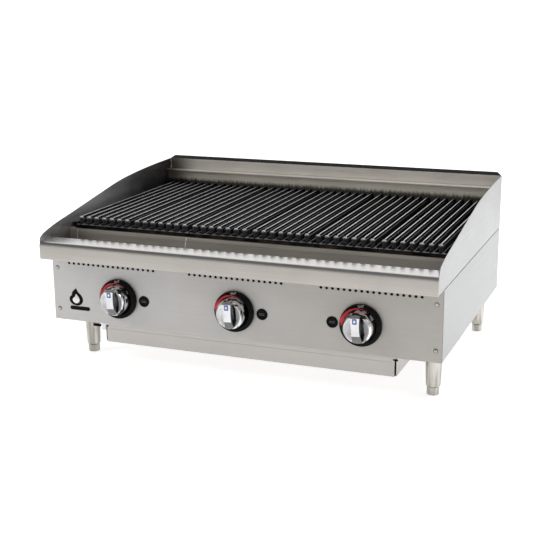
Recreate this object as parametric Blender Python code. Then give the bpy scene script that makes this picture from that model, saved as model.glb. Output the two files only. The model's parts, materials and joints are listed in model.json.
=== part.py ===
"""Countertop gas charbroiler: sheet-metal cabinet, grates, radiants, burners and gas train.

Millimetres are turned into metres by MM. X runs to the right seen from the front, Y runs from
the front to the back, Z is up from the floor. FRONT is the world Y of the rail's front face.
"""
import bpy
import bmesh
import math
from mathutils import Matrix, Vector

MM = 0.001
DEPTH = 685.0
FRONT = -DEPTH / 2.0
GAP = 0.3
SHEET = 1.2
SKIN = 1.5

# cabinet
HALF_W = 457.2
PANEL_Y = 48.6
REAR_Y = 663.5
BODY_Z = 106.3
SEAM_Z = 260.0
RAIL_BEND_Z = 289.0
RAIL_TOP_Z = 300.0
RAIL_BACK_Y = 52.0
RAIL_Y0 = 1.8
SPLASH_IN = HALF_W - SKIN
SPLASH_EDGE = (
    (1.8, 302.0), (4.0, 307.5), (10.0, 312.5), (24.0, 318.5), (73.0, 329.5), (140.0, 340.0),
    (207.0, 351.0), (274.0, 361.8), (327.0, 370.5), (372.0, 377.0), (420.0, 381.5),
    (497.0, 386.5), (580.0, 389.6), (REAR_Y - GAP, 391.0),
)
LEDGE_Y = 634.0
LEDGE_Z = 363.5
SPLASH_TOP_Z = 391.0
FLANGE_TOP_Z = 398.6
FLANGE_Y = 670.0
FLANGE_CUT = 13.0

# firebox
LINER_X = 444.5
LINER_FRONT_Y = 128.0
LINER_REAR_Y = 629.0
LINER_Z = 150.0
GRATE_REST_Z = 306.2
SIDE_FLANGE_Z = 318.0

# grates
GRATE_COUNT = 6
GRATE_PITCH = 147.0
GRATE_W = 146.0
BARS = 7
BAR_PITCH = 21.0
BAR_TOP_W = 5.0
BAR_FOOT_W = 11.5
GRATE_Y0 = 130.0
GRATE_Y1 = 641.0
GRATE_Z0 = GRATE_REST_Z + GAP
GRATE_WEB_Z = 315.0
GRATE_TOP_Z = 334.0

# radiants and burners
KNOB_X = (-285.75, 0.0, 285.75)
PLUG_DX = (63.5, 63.5, -63.5)
RADIANT_HALF = 125.0
RADIANT_Y0 = 133.0
RADIANT_Y1 = 625.0
RADIANT_Z = 216.0
BURNER_Z = 171.0
BURNER_DX = 40.0
BURNER_R = 15.0

# gas train
PIPE_R = 13.35
PIPE_Y = 82.0
PIPE_Z = 125.0
PIPE_X = 405.0
STEM_R = 4.0
KNOB_Z = 170.8
PLUG_Z = 169.8

# vents
VENT_GROUP = 304.8
VENT_PITCH = 12.7
VENT_COUNT = 18
VENT_R = 2.8
VENT_Z = 242.7

# knobs
BEZEL_R = 45.5
KNOB_BASE_H = 3.6
KNOB_FRONT_H = 42.0
KNOB_BASE_R = 35.2
KNOB_FRONT_R = 27.2

# drip tray and its housing
TRAY_HALF = 346.8
TRAY_FRONT_Y = 92.0
TRAY_REAR_Y = 640.0
TRAY_Z = 50.8
TRAY_TOP_Z = 84.0
TRAY_FACE_Z = 87.7
HOUSING_X = 351.0
HOUSING_Z = 49.3

# legs
LEG_X = 418.0
LEG_Y = (148.0, 620.0)
LEG_TOP_Z = 106.0
LEG_END_Z = 20.0
FOOT_R = 13.6

STEEL = ((0.62, 0.61, 0.59), 0.34, 1.0)
STEEL_DARK = ((0.42, 0.40, 0.37), 0.42, 1.0)
IRON = ((0.03, 0.03, 0.032), 0.55, 0.6)
CHROME = ((0.8, 0.8, 0.81), 0.12, 1.0)
BRASS = ((0.72, 0.53, 0.25), 0.35, 1.0)
BLACK = ((0.015, 0.015, 0.016), 0.4, 0.0)
PIPE_BLACK = ((0.08, 0.08, 0.085), 0.5, 0.7)
NICKEL = ((0.6, 0.57, 0.53), 0.38, 1.0)


def clear_scene():
    for obj in list(bpy.data.objects):
        bpy.data.objects.remove(obj, do_unlink=True)


def new_collection(name):
    coll = bpy.data.collections.new(name)
    bpy.context.scene.collection.children.link(coll)
    return coll


clear_scene()
PART = new_collection("charbroiler")
CUTTERS = new_collection("charbroiler_cutters")


def material(name, look):
    colour, roughness, metallic = look
    mat = bpy.data.materials.new(name)
    mat.use_nodes = True
    shader = mat.node_tree.nodes["Principled BSDF"]
    shader.inputs["Base Color"].default_value = (*colour, 1.0)
    shader.inputs["Roughness"].default_value = roughness
    shader.inputs["Metallic"].default_value = metallic
    return mat


def world(x, y, z):
    """World point in metres of a point given in millimetres from the rail's front face."""
    return Vector((x * MM, (y + FRONT) * MM, z * MM))


def finish_mesh(name, bm, look, origin=None, coll=None):
    """Turn a bmesh built in world metres into an object with its origin at the given point."""
    bmesh.ops.remove_doubles(bm, verts=bm.verts, dist=1e-7)
    bmesh.ops.recalc_face_normals(bm, faces=bm.faces)
    base = origin if origin is not None else Vector((0.0, 0.0, 0.0))
    bmesh.ops.translate(bm, verts=bm.verts, vec=-base)
    mesh = bpy.data.meshes.new(name)
    bm.to_mesh(mesh)
    bm.free()
    obj = bpy.data.objects.new(name, mesh)
    obj.location = base
    (coll or PART).objects.link(obj)
    if look is not None:
        mesh.materials.append(material(name, look))
    return obj


def add_prism(bm, axis, outline, lo, hi):
    """Extrude a closed outline along X (y, z points), Y (x, z points) or Z (x, y points)."""
    rings = []
    for level in (lo, hi):
        ring = []
        for a, b in outline:
            if axis == "X":
                spot = world(level, a, b)
            elif axis == "Y":
                spot = world(a, level, b)
            else:
                spot = world(a, b, level)
            ring.append(bm.verts.new(spot))
        rings.append(ring)
    count = len(outline)
    for i in range(count):
        j = (i + 1) % count
        bm.faces.new((rings[0][i], rings[0][j], rings[1][j], rings[1][i]))
    bm.faces.new(rings[0][::-1])
    bm.faces.new(rings[1])


def add_box(bm, x0, x1, y0, y1, z0, z1):
    add_prism(bm, "Z", ((x0, y0), (x1, y0), (x1, y1), (x0, y1)), z0, z1)


def add_lathe(bm, profile, centre, axis, segments):
    """Turn (radius, height) points about an axis through centre; heights run along axis."""
    turn = {
        "Z": Matrix.Identity(3),
        "-Y": Matrix.Rotation(math.radians(90.0), 3, "X"),
        "Y": Matrix.Rotation(math.radians(-90.0), 3, "X"),
        "X": Matrix.Rotation(math.radians(90.0), 3, "Y"),
    }[axis]
    base = world(*centre)
    rings = []
    for radius, height in profile:
        ring = []
        steps = segments if radius > 1e-6 else 1
        for k in range(steps):
            angle = 2.0 * math.pi * (k + 0.5) / segments
            local = Vector((radius * math.cos(angle), radius * math.sin(angle), height))
            ring.append(bm.verts.new(base + turn @ (local * MM)))
        rings.append(ring)
    for low, high in zip(rings, rings[1:]):
        for k in range(segments):
            n = (k + 1) % segments
            if len(low) == 1 and len(high) == 1:
                continue
            if len(low) == 1:
                bm.faces.new((low[0], high[n], high[k]))
            elif len(high) == 1:
                bm.faces.new((low[k], low[n], high[0]))
            else:
                bm.faces.new((low[k], low[n], high[n], high[k]))
    if len(rings[0]) > 1:
        bm.faces.new(rings[0][::-1])
    if len(rings[-1]) > 1:
        bm.faces.new(rings[-1])


def add_rod(bm, radius, centre, axis, length, segments=16):
    add_lathe(bm, ((radius, 0.0), (radius, length)), centre, axis, segments)


def sheet_outline(path, thickness):
    """Closed outline of a folded sheet: the path plus its offset to the left of travel."""
    count = len(path)
    normals = []
    for (a0, b0), (a1, b1) in zip(path, path[1:]):
        length = math.hypot(a1 - a0, b1 - b0)
        normals.append((-(b1 - b0) / length, (a1 - a0) / length))
    offset = []
    for i in range(count):
        before = normals[max(i - 1, 0)]
        after = normals[min(i, count - 2)]
        scale = thickness / (1.0 + before[0] * after[0] + before[1] * after[1])
        a, b = path[i]
        offset.append((a + (before[0] + after[0]) * scale, b + (before[1] + after[1]) * scale))
    return list(path) + offset[::-1]


def cut(obj, cutter, operation="DIFFERENCE"):
    cutter.hide_render = True
    cutter.display_type = "WIRE"
    mod = obj.modifiers.new(operation.title(), "BOOLEAN")
    mod.operation = operation
    mod.solver = "EXACT"
    mod.object = cutter
    return mod


def make(name, look, build, origin=None, coll=None):
    bm = bmesh.new()
    build(bm)
    return finish_mesh(name, bm, look, origin, coll)


def make_cutter(name, build):
    return make(name, None, build, None, CUTTERS)


def folded(name, look, axis, path, lo, hi, thickness=SHEET):
    outline = sheet_outline(path, thickness)
    return make(name, look, lambda bm: add_prism(bm, axis, outline, lo, hi))


def mirrored(path, side):
    """Mirror (x, z) points for the other hand, keeping the sheet's thickness on the same side."""
    if side > 0:
        return list(path)
    return [(-a, b) for a, b in path][::-1]


def arc(centre, radius, start, end, steps):
    points = []
    for k in range(steps + 1):
        angle = math.radians(start + (end - start) * k / steps)
        points.append((centre[0] + radius * math.cos(angle), centre[1] + radius * math.sin(angle)))
    return points


def smooth(obj, degrees=40.0):
    mesh = obj.data
    mesh.shade_smooth()
    mesh.set_sharp_from_angle(angle=math.radians(degrees))


# ---------------------------------------------------------------- cabinet

def build_rail():
    bend = arc((10.0, RAIL_TOP_Z - 10.0), 10.0, 180.0, 100.0, 5)
    path = [(47.8, SEAM_Z), (0.0, SEAM_Z)] + bend
    path += [(RAIL_BACK_Y - 1.5, RAIL_TOP_Z + 1.0), (RAIL_BACK_Y, RAIL_TOP_Z - 0.5), (RAIL_BACK_Y, 258.0)]
    path.reverse()
    rail = folded("front_rail", STEEL, "X", path, -HALF_W, HALF_W, SHEET)

    def ends(bm):
        for side in (-1.0, 1.0):
            x0, x1 = sorted((side * (SPLASH_IN - GAP), side * (HALF_W + 5.0)))
            add_box(bm, x0, x1, 1.5, 60.0, 250.0, 320.0)

    cut(rail, make_cutter("rail_ends", ends))
    return rail


def build_front_panel():
    path = [(PANEL_Y + 20.0, BODY_Z), (PANEL_Y, BODY_Z), (PANEL_Y, 292.0)]
    path.reverse()
    panel = folded("front_panel", STEEL, "X", path, -(SPLASH_IN + 1.2), SPLASH_IN + 1.2)

    def corners(bm):
        for side in (-1.0, 1.0):
            x0, x1 = sorted((side * (SPLASH_IN - GAP), side * (HALF_W + 5.0)))
            add_box(bm, x0, x1, 40.0, 60.0, SEAM_Z - GAP, 300.0)
            add_box(bm, x0, x1, PANEL_Y + SHEET, 80.0, 100.0, 120.0)

    cut(panel, make_cutter("panel_corners", corners))

    def holes(bm):
        for group in (-1, 0, 1):
            for k in range(VENT_COUNT):
                x = group * VENT_GROUP + (k - (VENT_COUNT - 1) / 2.0) * VENT_PITCH
                add_rod(bm, VENT_R, (x, 40.0, VENT_Z), "Y", 20.0, 6)
        for x, dx in zip(KNOB_X, PLUG_DX):
            add_rod(bm, 8.0, (x, 40.0, KNOB_Z), "Y", 20.0, 12)
            add_rod(bm, 11.0, (x + dx, 40.0, PLUG_Z), "Y", 20.0, 12)

    cut(panel, make_cutter("panel_holes", holes))
    return panel


def build_sides():
    for side, tag in ((-1.0, "left"), (1.0, "right")):
        outer = SPLASH_IN + SHEET
        path = mirrored([(outer - 20.0, BODY_Z), (outer, BODY_Z), (outer, SEAM_Z - GAP)], side)
        y0 = PANEL_Y + SHEET + GAP
        panel = folded(tag + "_side_panel", STEEL, "Y", path, y0, REAR_Y - GAP)
        x0, x1 = sorted((side * SPLASH_IN, side * (outer - 30.0)))
        notch = make_cutter(
            tag + "_side_notch", lambda bm, a=x0, b=x1: add_box(bm, a, b, y0 - 5.0, 70.0, 100.0, 112.0)
        )
        cut(panel, notch)
        outline = [(RAIL_Y0, SEAM_Z)] + list(SPLASH_EDGE) + [(REAR_Y - GAP, SEAM_Z)]
        x0, x1 = sorted((side * SPLASH_IN, side * HALF_W))
        make(tag + "_splash", STEEL, lambda bm, a=x0, b=x1, o=outline: add_prism(bm, "X", o, a, b))


def build_rear():
    rear_half = SPLASH_IN - GAP
    path = [
        (LEDGE_Y, LEDGE_Z - 2.0), (LEDGE_Y, LEDGE_Z), (REAR_Y, LEDGE_Z), (REAR_Y, SPLASH_TOP_Z),
        (FLANGE_Y, FLANGE_TOP_Z),
    ]
    splash = folded("rear_splash", STEEL, "X", path, -rear_half, rear_half, SHEET)

    def mitre(bm):
        for side in (-1.0, 1.0):
            near = side * (rear_half - FLANGE_CUT)
            far = side * (rear_half + 10.0)
            tip = side * rear_half
            low = SPLASH_TOP_Z + 1.0
            outline = ((tip, low), (near, FLANGE_TOP_Z + 2.0), (far, FLANGE_TOP_Z + 2.0), (far, low))
            add_prism(bm, "Y", outline, REAR_Y - 6.0, DEPTH + 6.0)

    cut(splash, make_cutter("flange_mitre", mitre))

    def sheet(bm):
        add_box(bm, -(rear_half), rear_half, REAR_Y, REAR_Y + SHEET, BODY_Z, LEDGE_Z - SHEET - GAP)

    panel = make("rear_panel", STEEL, sheet)

    def holes(bm):
        add_rod(bm, PIPE_R + 1.2, (PIPE_X, REAR_Y - 5.0, PIPE_Z), "Y", 12.0, 16)
        for k in range(9):
            x = -300.0 + 75.0 * k
            add_box(bm, x - 24.0, x + 24.0, REAR_Y - 5.0, REAR_Y + 6.0, 178.0, 184.0)

    cut(panel, make_cutter("rear_holes", holes))


# ---------------------------------------------------------------- firebox

def build_firebox():
    half = SPLASH_IN - GAP
    path = [(LINER_FRONT_Y, LINER_Z), (LINER_FRONT_Y, GRATE_REST_Z), (LINER_FRONT_Y + 14.0, GRATE_REST_Z)]
    front = folded("liner_front", STEEL_DARK, "X", path[::-1], -half, half)

    def holes(bm):
        for x, dx in zip(KNOB_X, PLUG_DX):
            add_rod(bm, BURNER_R - 1.0 + 0.6, (x, LINER_FRONT_Y - 6.0, BURNER_Z), "Y", 14.0, 16)
            add_rod(bm, 4.6, (x + dx, LINER_FRONT_Y - 6.0, BURNER_Z), "Y", 14.0, 12)

    cut(front, make_cutter("liner_holes", holes))

    rear_path = [
        (LINER_REAR_Y, LINER_Z), (LINER_REAR_Y, GRATE_REST_Z), (LINER_REAR_Y + 16.0, GRATE_REST_Z),
        (LINER_REAR_Y + 16.0, LEDGE_Z - SHEET - GAP),
    ]
    folded("liner_rear", STEEL_DARK, "X", rear_path[::-1], -half, half)
    for side, tag in ((-1.0, "left"), (1.0, "right")):
        path = mirrored([(LINER_X, LINER_Z), (LINER_X, SIDE_FLANGE_Z), (half, SIDE_FLANGE_Z)], side)
        y0 = LINER_FRONT_Y + 14.0 + GAP
        folded("liner_" + tag, STEEL_DARK, "Y", path[::-1], y0, LINER_REAR_Y - SHEET - GAP)
    trough = [
        (54.0, 296.0), (54.0, 258.0), (62.0, 250.0), (118.0, 250.0), (126.4, 258.0), (126.4, 296.0),
    ]
    folded("grease_trough", STEEL, "X", trough, -half, half)


def build_rails():
    """Angle rails across the firebox: two carry the radiants, one carries the burners' rear ends."""
    half = LINER_X - GAP - 0.5
    y_front = LINER_FRONT_Y + SHEET + GAP + 0.2
    y_rear = LINER_REAR_Y - SHEET - GAP - 0.2
    front = [(y_front, RADIANT_Z - 16.0), (y_front, RADIANT_Z - GAP), (y_front + 14.0, RADIANT_Z - GAP)]
    rear = [(y_rear, RADIANT_Z - 16.0), (y_rear, RADIANT_Z - GAP), (y_rear - 14.0, RADIANT_Z - GAP)]
    folded("radiant_rail_front", STEEL_DARK, "X", front[::-1], -half, half, 1.5)
    folded("radiant_rail_rear", STEEL_DARK, "X", rear, -half, half, 1.5)
    rest = BURNER_Z - 4.0 - GAP
    burner = [(y_rear, rest - 14.0), (y_rear, rest), (y_rear - 16.0, rest)]
    folded("burner_rail", STEEL_DARK, "X", burner, -half, half, 1.5)


def grate_outline(x_left):
    """Cross-section of one grate: a thin web with tapered bars standing on it."""
    points = [(x_left, GRATE_Z0), (x_left + GRATE_W, GRATE_Z0), (x_left + GRATE_W, GRATE_WEB_Z)]
    for k in reversed(range(BARS)):
        x = x_left + GRATE_W / 2.0 + (k - (BARS - 1) / 2.0) * BAR_PITCH
        points += [
            (x + BAR_FOOT_W / 2.0, GRATE_WEB_Z),
            (x + BAR_TOP_W / 2.0 + 1.2, GRATE_TOP_Z - 2.2),
            (x + BAR_TOP_W / 2.0 - 0.6, GRATE_TOP_Z),
            (x - BAR_TOP_W / 2.0 + 0.6, GRATE_TOP_Z),
            (x - BAR_TOP_W / 2.0 - 1.2, GRATE_TOP_Z - 2.2),
            (x - BAR_FOOT_W / 2.0, GRATE_WEB_Z),
        ]
    points.append((x_left, GRATE_WEB_Z))
    return points


def grate_cutters(bm, x_left):
    """Slots between the bars, and the rounded bar ends above the end rims."""
    windows = ((GRATE_Y0 + 9.0, 296.0), (308.0, 458.0), (470.0, GRATE_Y1 - 15.0))
    half_slot = (BAR_PITCH - BAR_FOOT_W) / 2.0 - 0.15
    for k in range(BARS - 1):
        x = x_left + GRATE_W / 2.0 + (k - (BARS - 2) / 2.0) * BAR_PITCH
        for y0, y1 in windows:
            add_box(bm, x - half_slot, x + half_slot, y0, y1, GRATE_Z0 - 5.0, GRATE_WEB_Z + 5.0)
    front = (
        (GRATE_Y0 - 5.0, GRATE_WEB_Z + 0.6), (GRATE_Y0 + 1.0, GRATE_WEB_Z + 0.6),
        (GRATE_Y0 + 2.0, GRATE_TOP_Z - 7.0), (GRATE_Y0 + 5.5, GRATE_TOP_Z - 2.0),
        (GRATE_Y0 + 11.0, GRATE_TOP_Z + 0.4), (GRATE_Y0 + 11.0, GRATE_TOP_Z + 6.0),
        (GRATE_Y0 - 5.0, GRATE_TOP_Z + 6.0),
    )
    rear_end = GRATE_Y1 - 1.0
    rear = (
        (GRATE_Y1 + 5.0, GRATE_WEB_Z + 0.6), (rear_end, GRATE_WEB_Z + 0.6),
        (rear_end - 1.0, GRATE_TOP_Z - 6.0), (rear_end - 3.5, GRATE_TOP_Z - 2.0),
        (rear_end - 7.0, GRATE_TOP_Z + 0.4), (rear_end - 7.0, GRATE_TOP_Z + 6.0),
        (GRATE_Y1 + 5.0, GRATE_TOP_Z + 6.0),
    )
    for outline in (front, rear):
        add_prism(bm, "X", outline, x_left - 5.0, x_left + GRATE_W + 5.0)


def build_grates():
    for i in range(GRATE_COUNT):
        centre = (i - (GRATE_COUNT - 1) / 2.0) * GRATE_PITCH
        x_left = centre - GRATE_W / 2.0
        origin = world(centre, (GRATE_Y0 + GRATE_Y1) / 2.0, GRATE_Z0)
        outline = grate_outline(x_left)
        grate = make(
            "grate_%d" % (i + 1), IRON,
            lambda bm, o=outline: add_prism(bm, "Y", o, GRATE_Y0, GRATE_Y1), origin,
        )
        cutter = make_cutter("grate_cut_%d" % (i + 1), lambda bm, x=x_left: grate_cutters(bm, x))
        cut(grate, cutter)


def build_radiants():
    for i, x in enumerate(KNOB_X):
        path = [
            (x - RADIANT_HALF, RADIANT_Z), (x - RADIANT_HALF + 14.0, RADIANT_Z), (x - 62.0, RADIANT_Z + 44.0),
            (x - 50.0, RADIANT_Z + 44.0), (x - 6.0, RADIANT_Z + 10.0), (x + 6.0, RADIANT_Z + 10.0),
            (x + 50.0, RADIANT_Z + 44.0), (x + 62.0, RADIANT_Z + 44.0),
            (x + RADIANT_HALF - 14.0, RADIANT_Z), (x + RADIANT_HALF, RADIANT_Z),
        ]
        outline = sheet_outline(path, 4.0)
        origin = world(x, (RADIANT_Y0 + RADIANT_Y1) / 2.0, RADIANT_Z)
        make(
            "radiant_%d" % (i + 1), IRON,
            lambda bm, o=outline: add_prism(bm, "Y", o, RADIANT_Y0, RADIANT_Y1), origin,
        )


def build_burners():
    for i, x in enumerate(KNOB_X):
        def head(bm, a=x):
            add_box(bm, a - 54.0, a + 54.0, 160.0, 190.0, BURNER_Z - 12.0, BURNER_Z + 12.0)

        burner = make("burner_%d" % (i + 1), IRON, head)

        def arms(bm, a=x):
            for dx in (-BURNER_DX, BURNER_DX):
                add_rod(bm, BURNER_R, (a + dx, 175.0, BURNER_Z), "Y", 415.0, 12)

        def mouth(bm, a=x):
            profile = (
                (BURNER_R - 1.0, 0.0), (BURNER_R - 1.0, 14.0), (11.0, 24.0), (12.5, 55.0),
            )
            add_lathe(bm, profile, (a, 115.0, BURNER_Z), "Y", 16)

        cut(burner, make_cutter("burner_arms_%d" % (i + 1), arms), "UNION")
        cut(burner, make_cutter("burner_mouth_%d" % (i + 1), mouth), "UNION")

        def tail(bm, a=x):
            outline = (
                (a - 50.0, 570.0), (a + 50.0, 570.0), (a + 50.0, 586.0), (a + 9.0, 586.0),
                (a + 9.0, 622.0), (a - 9.0, 622.0), (a - 9.0, 586.0), (a - 50.0, 586.0),
            )
            add_prism(bm, "Z", outline, BURNER_Z - 4.0, BURNER_Z + 3.0)

        cut(burner, make_cutter("burner_tail_%d" % (i + 1), tail), "UNION")

        def bore(bm, a=x):
            add_rod(bm, 9.0, (a, 110.0, BURNER_Z), "Y", 30.0, 12)

        cut(burner, make_cutter("burner_bore_%d" % (i + 1), bore))


# ---------------------------------------------------------------- gas train

def tube(name, look, points, radius, sides, bore=None):
    """Round tube swept along straight runs with mitred corners."""
    bm = bmesh.new()
    rings = []
    spots = [world(*p) for p in points]
    side_hint = Vector((0.0, 0.0, 1.0))
    first = (spots[1] - spots[0]).normalized()
    if abs(first.dot(side_hint)) > 0.9:
        side_hint = Vector((1.0, 0.0, 0.0))
    across = first.cross(side_hint).normalized()
    above = across.cross(first).normalized()
    ring = []
    for k in range(sides):
        angle = 2.0 * math.pi * (k + 0.5) / sides
        ring.append(spots[0] + (across * math.cos(angle) + above * math.sin(angle)) * radius * MM)
    rings.append(ring)
    for i in range(1, len(spots)):
        travel = (spots[i] - spots[i - 1]).normalized()
        if i < len(spots) - 1:
            onward = (spots[i + 1] - spots[i]).normalized()
            plane = (travel + onward).normalized()
        else:
            plane = travel
        moved = []
        for p in rings[-1]:
            reach = (spots[i] - p).dot(plane) / travel.dot(plane)
            moved.append(p + travel * reach)
        rings.append(moved)
    verts = [[bm.verts.new(p) for p in r] for r in rings]
    for low, high in zip(verts, verts[1:]):
        for k in range(sides):
            n = (k + 1) % sides
            bm.faces.new((low[k], low[n], high[n], high[k]))
    bm.faces.new(verts[0][::-1])
    bm.faces.new(verts[-1])
    return finish_mesh(name, bm, look)


def corner_points(before, corner, after, radius, steps=4):
    """Points of a bend of the given radius between two straight runs."""
    a = (Vector(before) - Vector(corner)).normalized()
    b = (Vector(after) - Vector(corner)).normalized()
    centre = Vector(corner) + (a + b) * radius
    points = []
    for k in range(steps + 1):
        t = math.radians(90.0) * k / steps
        points.append(tuple(centre - b * radius * math.cos(t) - a * radius * math.sin(t)))
    return points


def build_pipe():
    start = (-372.0, PIPE_Y, PIPE_Z)
    corner = (PIPE_X, PIPE_Y, PIPE_Z)
    end = (PIPE_X, DEPTH, PIPE_Z)
    points = [start] + corner_points(start, corner, end, 26.0) + [end]
    pipe = tube("gas_pipe", PIPE_BLACK, points, PIPE_R, 14)
    bore = make_cutter(
        "inlet_bore",
        lambda bm: add_rod(bm, 10.4, (PIPE_X, DEPTH - 30.0, PIPE_Z), "Y", 40.0, 14),
    )
    cut(pipe, bore)


def build_valves():
    for i, x in enumerate(KNOB_X):
        valve = make(
            "gas_valve_%d" % (i + 1), BRASS,
            lambda bm, a=x: add_box(bm, a - 13.0, a + 13.0, 68.0, 96.0, KNOB_Z - 14.0, KNOB_Z + 14.0),
        )

        def stubs(bm, a=x):
            add_lathe(
                bm, ((8.0, 0.0), (8.0, 25.0)), (a, PIPE_Y, PIPE_Z + PIPE_R + GAP), "Z", 12
            )
            add_lathe(bm, ((6.5, 0.0), (6.5, 12.0), (4.0, 20.0)), (a, 94.0, BURNER_Z), "Y", 12)
            add_lathe(bm, ((9.0, 0.0), (9.0, 12.0)), (a, 70.0, KNOB_Z), "-Y", 12)

        cut(valve, make_cutter("valve_stubs_%d" % (i + 1), stubs), "UNION")
        add_stem(i, x)


def d_profile(x, radius, flat, sides=12):
    """Round outline with a flat on top, as (x, z) points round the knob's axis."""
    points = []
    for k in range(sides):
        angle = 2.0 * math.pi * (k + 0.5) / sides
        points.append((x + radius * math.cos(angle), KNOB_Z + min(radius * math.sin(angle), flat)))
    return points


def add_stem(i, x):
    front = PANEL_Y - 24.0
    origin = world(x, PANEL_Y, KNOB_Z)
    outline = d_profile(x, STEM_R, 2.4)
    make(
        "valve_stem_%d" % (i + 1), BRASS,
        lambda bm: add_prism(bm, "Y", outline, front, 57.7), origin,
    )


def build_pilots():
    for i, (x, dx) in enumerate(zip(KNOB_X, PLUG_DX)):
        a = x + dx
        top = PIPE_Z + PIPE_R + GAP
        points = [(a, PIPE_Y, top), (a, PIPE_Y, BURNER_Z), (a, 168.0, BURNER_Z), (a, 168.0, 190.0)]
        tube("pilot_tube_%d" % (i + 1), NICKEL, points, 3.6, 8)


# ---------------------------------------------------------------- controls

def build_knobs():
    for i, x in enumerate(KNOB_X):
        profile = (
            (8.6, 0.2), (BEZEL_R - 0.5, 0.2), (BEZEL_R, 1.2), (BEZEL_R - 0.4, 8.0), (BEZEL_R - 2.5, 11.0),
            (BEZEL_R - 5.0, 12.0), (37.2, 12.0), (36.6, 11.4), (36.4, 2.8), (8.6, 2.8),
        )
        bezel_ring(i, x, profile)
        knob(i, x)


def bezel_ring(i, x, profile):
    bm = bmesh.new()
    segments = 28
    base = world(x, PANEL_Y, KNOB_Z)
    rings = []
    for radius, height in profile:
        ring = []
        for k in range(segments):
            angle = 2.0 * math.pi * k / segments
            spot = Vector((radius * math.cos(angle), -height, radius * math.sin(angle)))
            ring.append(bm.verts.new(base + spot * MM))
        rings.append(ring)
    for low, high in zip(rings, rings[1:] + rings[:1]):
        for k in range(segments):
            n = (k + 1) % segments
            bm.faces.new((low[k], low[n], high[n], high[k]))
    smooth(finish_mesh("dial_bezel_%d" % (i + 1), bm, BLACK))


def knob(i, x):
    origin = world(x, PANEL_Y, KNOB_Z)
    profile = (
        (KNOB_BASE_R - 1.0, KNOB_BASE_H), (KNOB_BASE_R, KNOB_BASE_H + 1.0), (KNOB_BASE_R - 0.4, 12.0),
        (33.0, 22.0), (KNOB_FRONT_R + 1.4, KNOB_FRONT_H - 3.5), (KNOB_FRONT_R + 0.4, KNOB_FRONT_H - 1.0),
        (KNOB_FRONT_R - 1.2, KNOB_FRONT_H),
    )
    name = "knob_%d" % (i + 1)
    bm = bmesh.new()
    add_lathe(bm, profile, (x, PANEL_Y, KNOB_Z), "-Y", 24)
    body = finish_mesh(name, bm, CHROME, origin)

    def scoops(bm_cut):
        for side in (-1.0, 1.0):
            add_ellipsoid(bm_cut, (x + side * 29.0, PANEL_Y - KNOB_FRONT_H, KNOB_Z), (23.0, 24.0, 42.0))

    def socket(bm_cut):
        outline = d_profile(x, STEM_R + GAP, 2.4 + GAP)
        add_prism(bm_cut, "Y", outline, PANEL_Y - 24.3, PANEL_Y + 2.0)

    cut(body, make_cutter("knob_scoops_%d" % (i + 1), scoops))
    cut(body, make_cutter("knob_socket_%d" % (i + 1), socket))
    smooth(body, 30.0)


def add_ellipsoid(bm, centre, radii):
    made = bmesh.ops.create_uvsphere(bm, u_segments=14, v_segments=10, radius=1.0)
    scale = Matrix.Diagonal(Vector((radii[0] * MM, radii[1] * MM, radii[2] * MM, 1.0)))
    shift = Matrix.Translation(world(*centre))
    bmesh.ops.transform(bm, matrix=shift @ scale, verts=made["verts"])


def build_plugs():
    for i, (x, dx) in enumerate(zip(KNOB_X, PLUG_DX)):
        bm = bmesh.new()
        profile = (
            (10.2, -6.0), (10.2, 0.2), (12.7, 0.2), (12.7, 1.2), (11.6, 2.2), (0.0, 2.4),
        )
        add_lathe(bm, profile, (x + dx, PANEL_Y, PLUG_Z), "-Y", 16)
        smooth(finish_mesh("access_plug_%d" % (i + 1), bm, BLACK))


# ---------------------------------------------------------------- base

def build_base():
    plate_z = BODY_Z + SHEET + GAP
    half = SPLASH_IN - GAP
    y0 = PANEL_Y + SHEET + GAP
    for side, tag in ((-1.0, "left"), (1.0, "right")):
        path = mirrored(
            [(HOUSING_X - 14.0, HOUSING_Z), (HOUSING_X, HOUSING_Z), (HOUSING_X, plate_z), (half, plate_z)], side
        )
        name = "housing_" + tag
        housing = folded(name, STEEL, "Y", path, y0, REAR_Y - GAP)
        x0, x1 = sorted((side * (HOUSING_X - 30.0), side * (HOUSING_X + SHEET + 0.4)))
        notch = make_cutter(
            name + "_notch",
            lambda bm, a=x0, b=x1: add_box(bm, a, b, y0 - 5.0, 94.8, HOUSING_Z - 5.0, plate_z - GAP),
        )
        cut(housing, notch)
    span = HOUSING_X - SHEET - GAP
    front = [(y0, plate_z), (TRAY_FRONT_Y, plate_z), (TRAY_FRONT_Y, 88.0)]
    folded("base_front", STEEL, "X", front, -span, span)
    rear = [(REAR_Y - GAP, plate_z), (648.0, plate_z), (648.0, TRAY_Z)]
    folded("base_rear", STEEL, "X", rear[::-1], -span, span)


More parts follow.
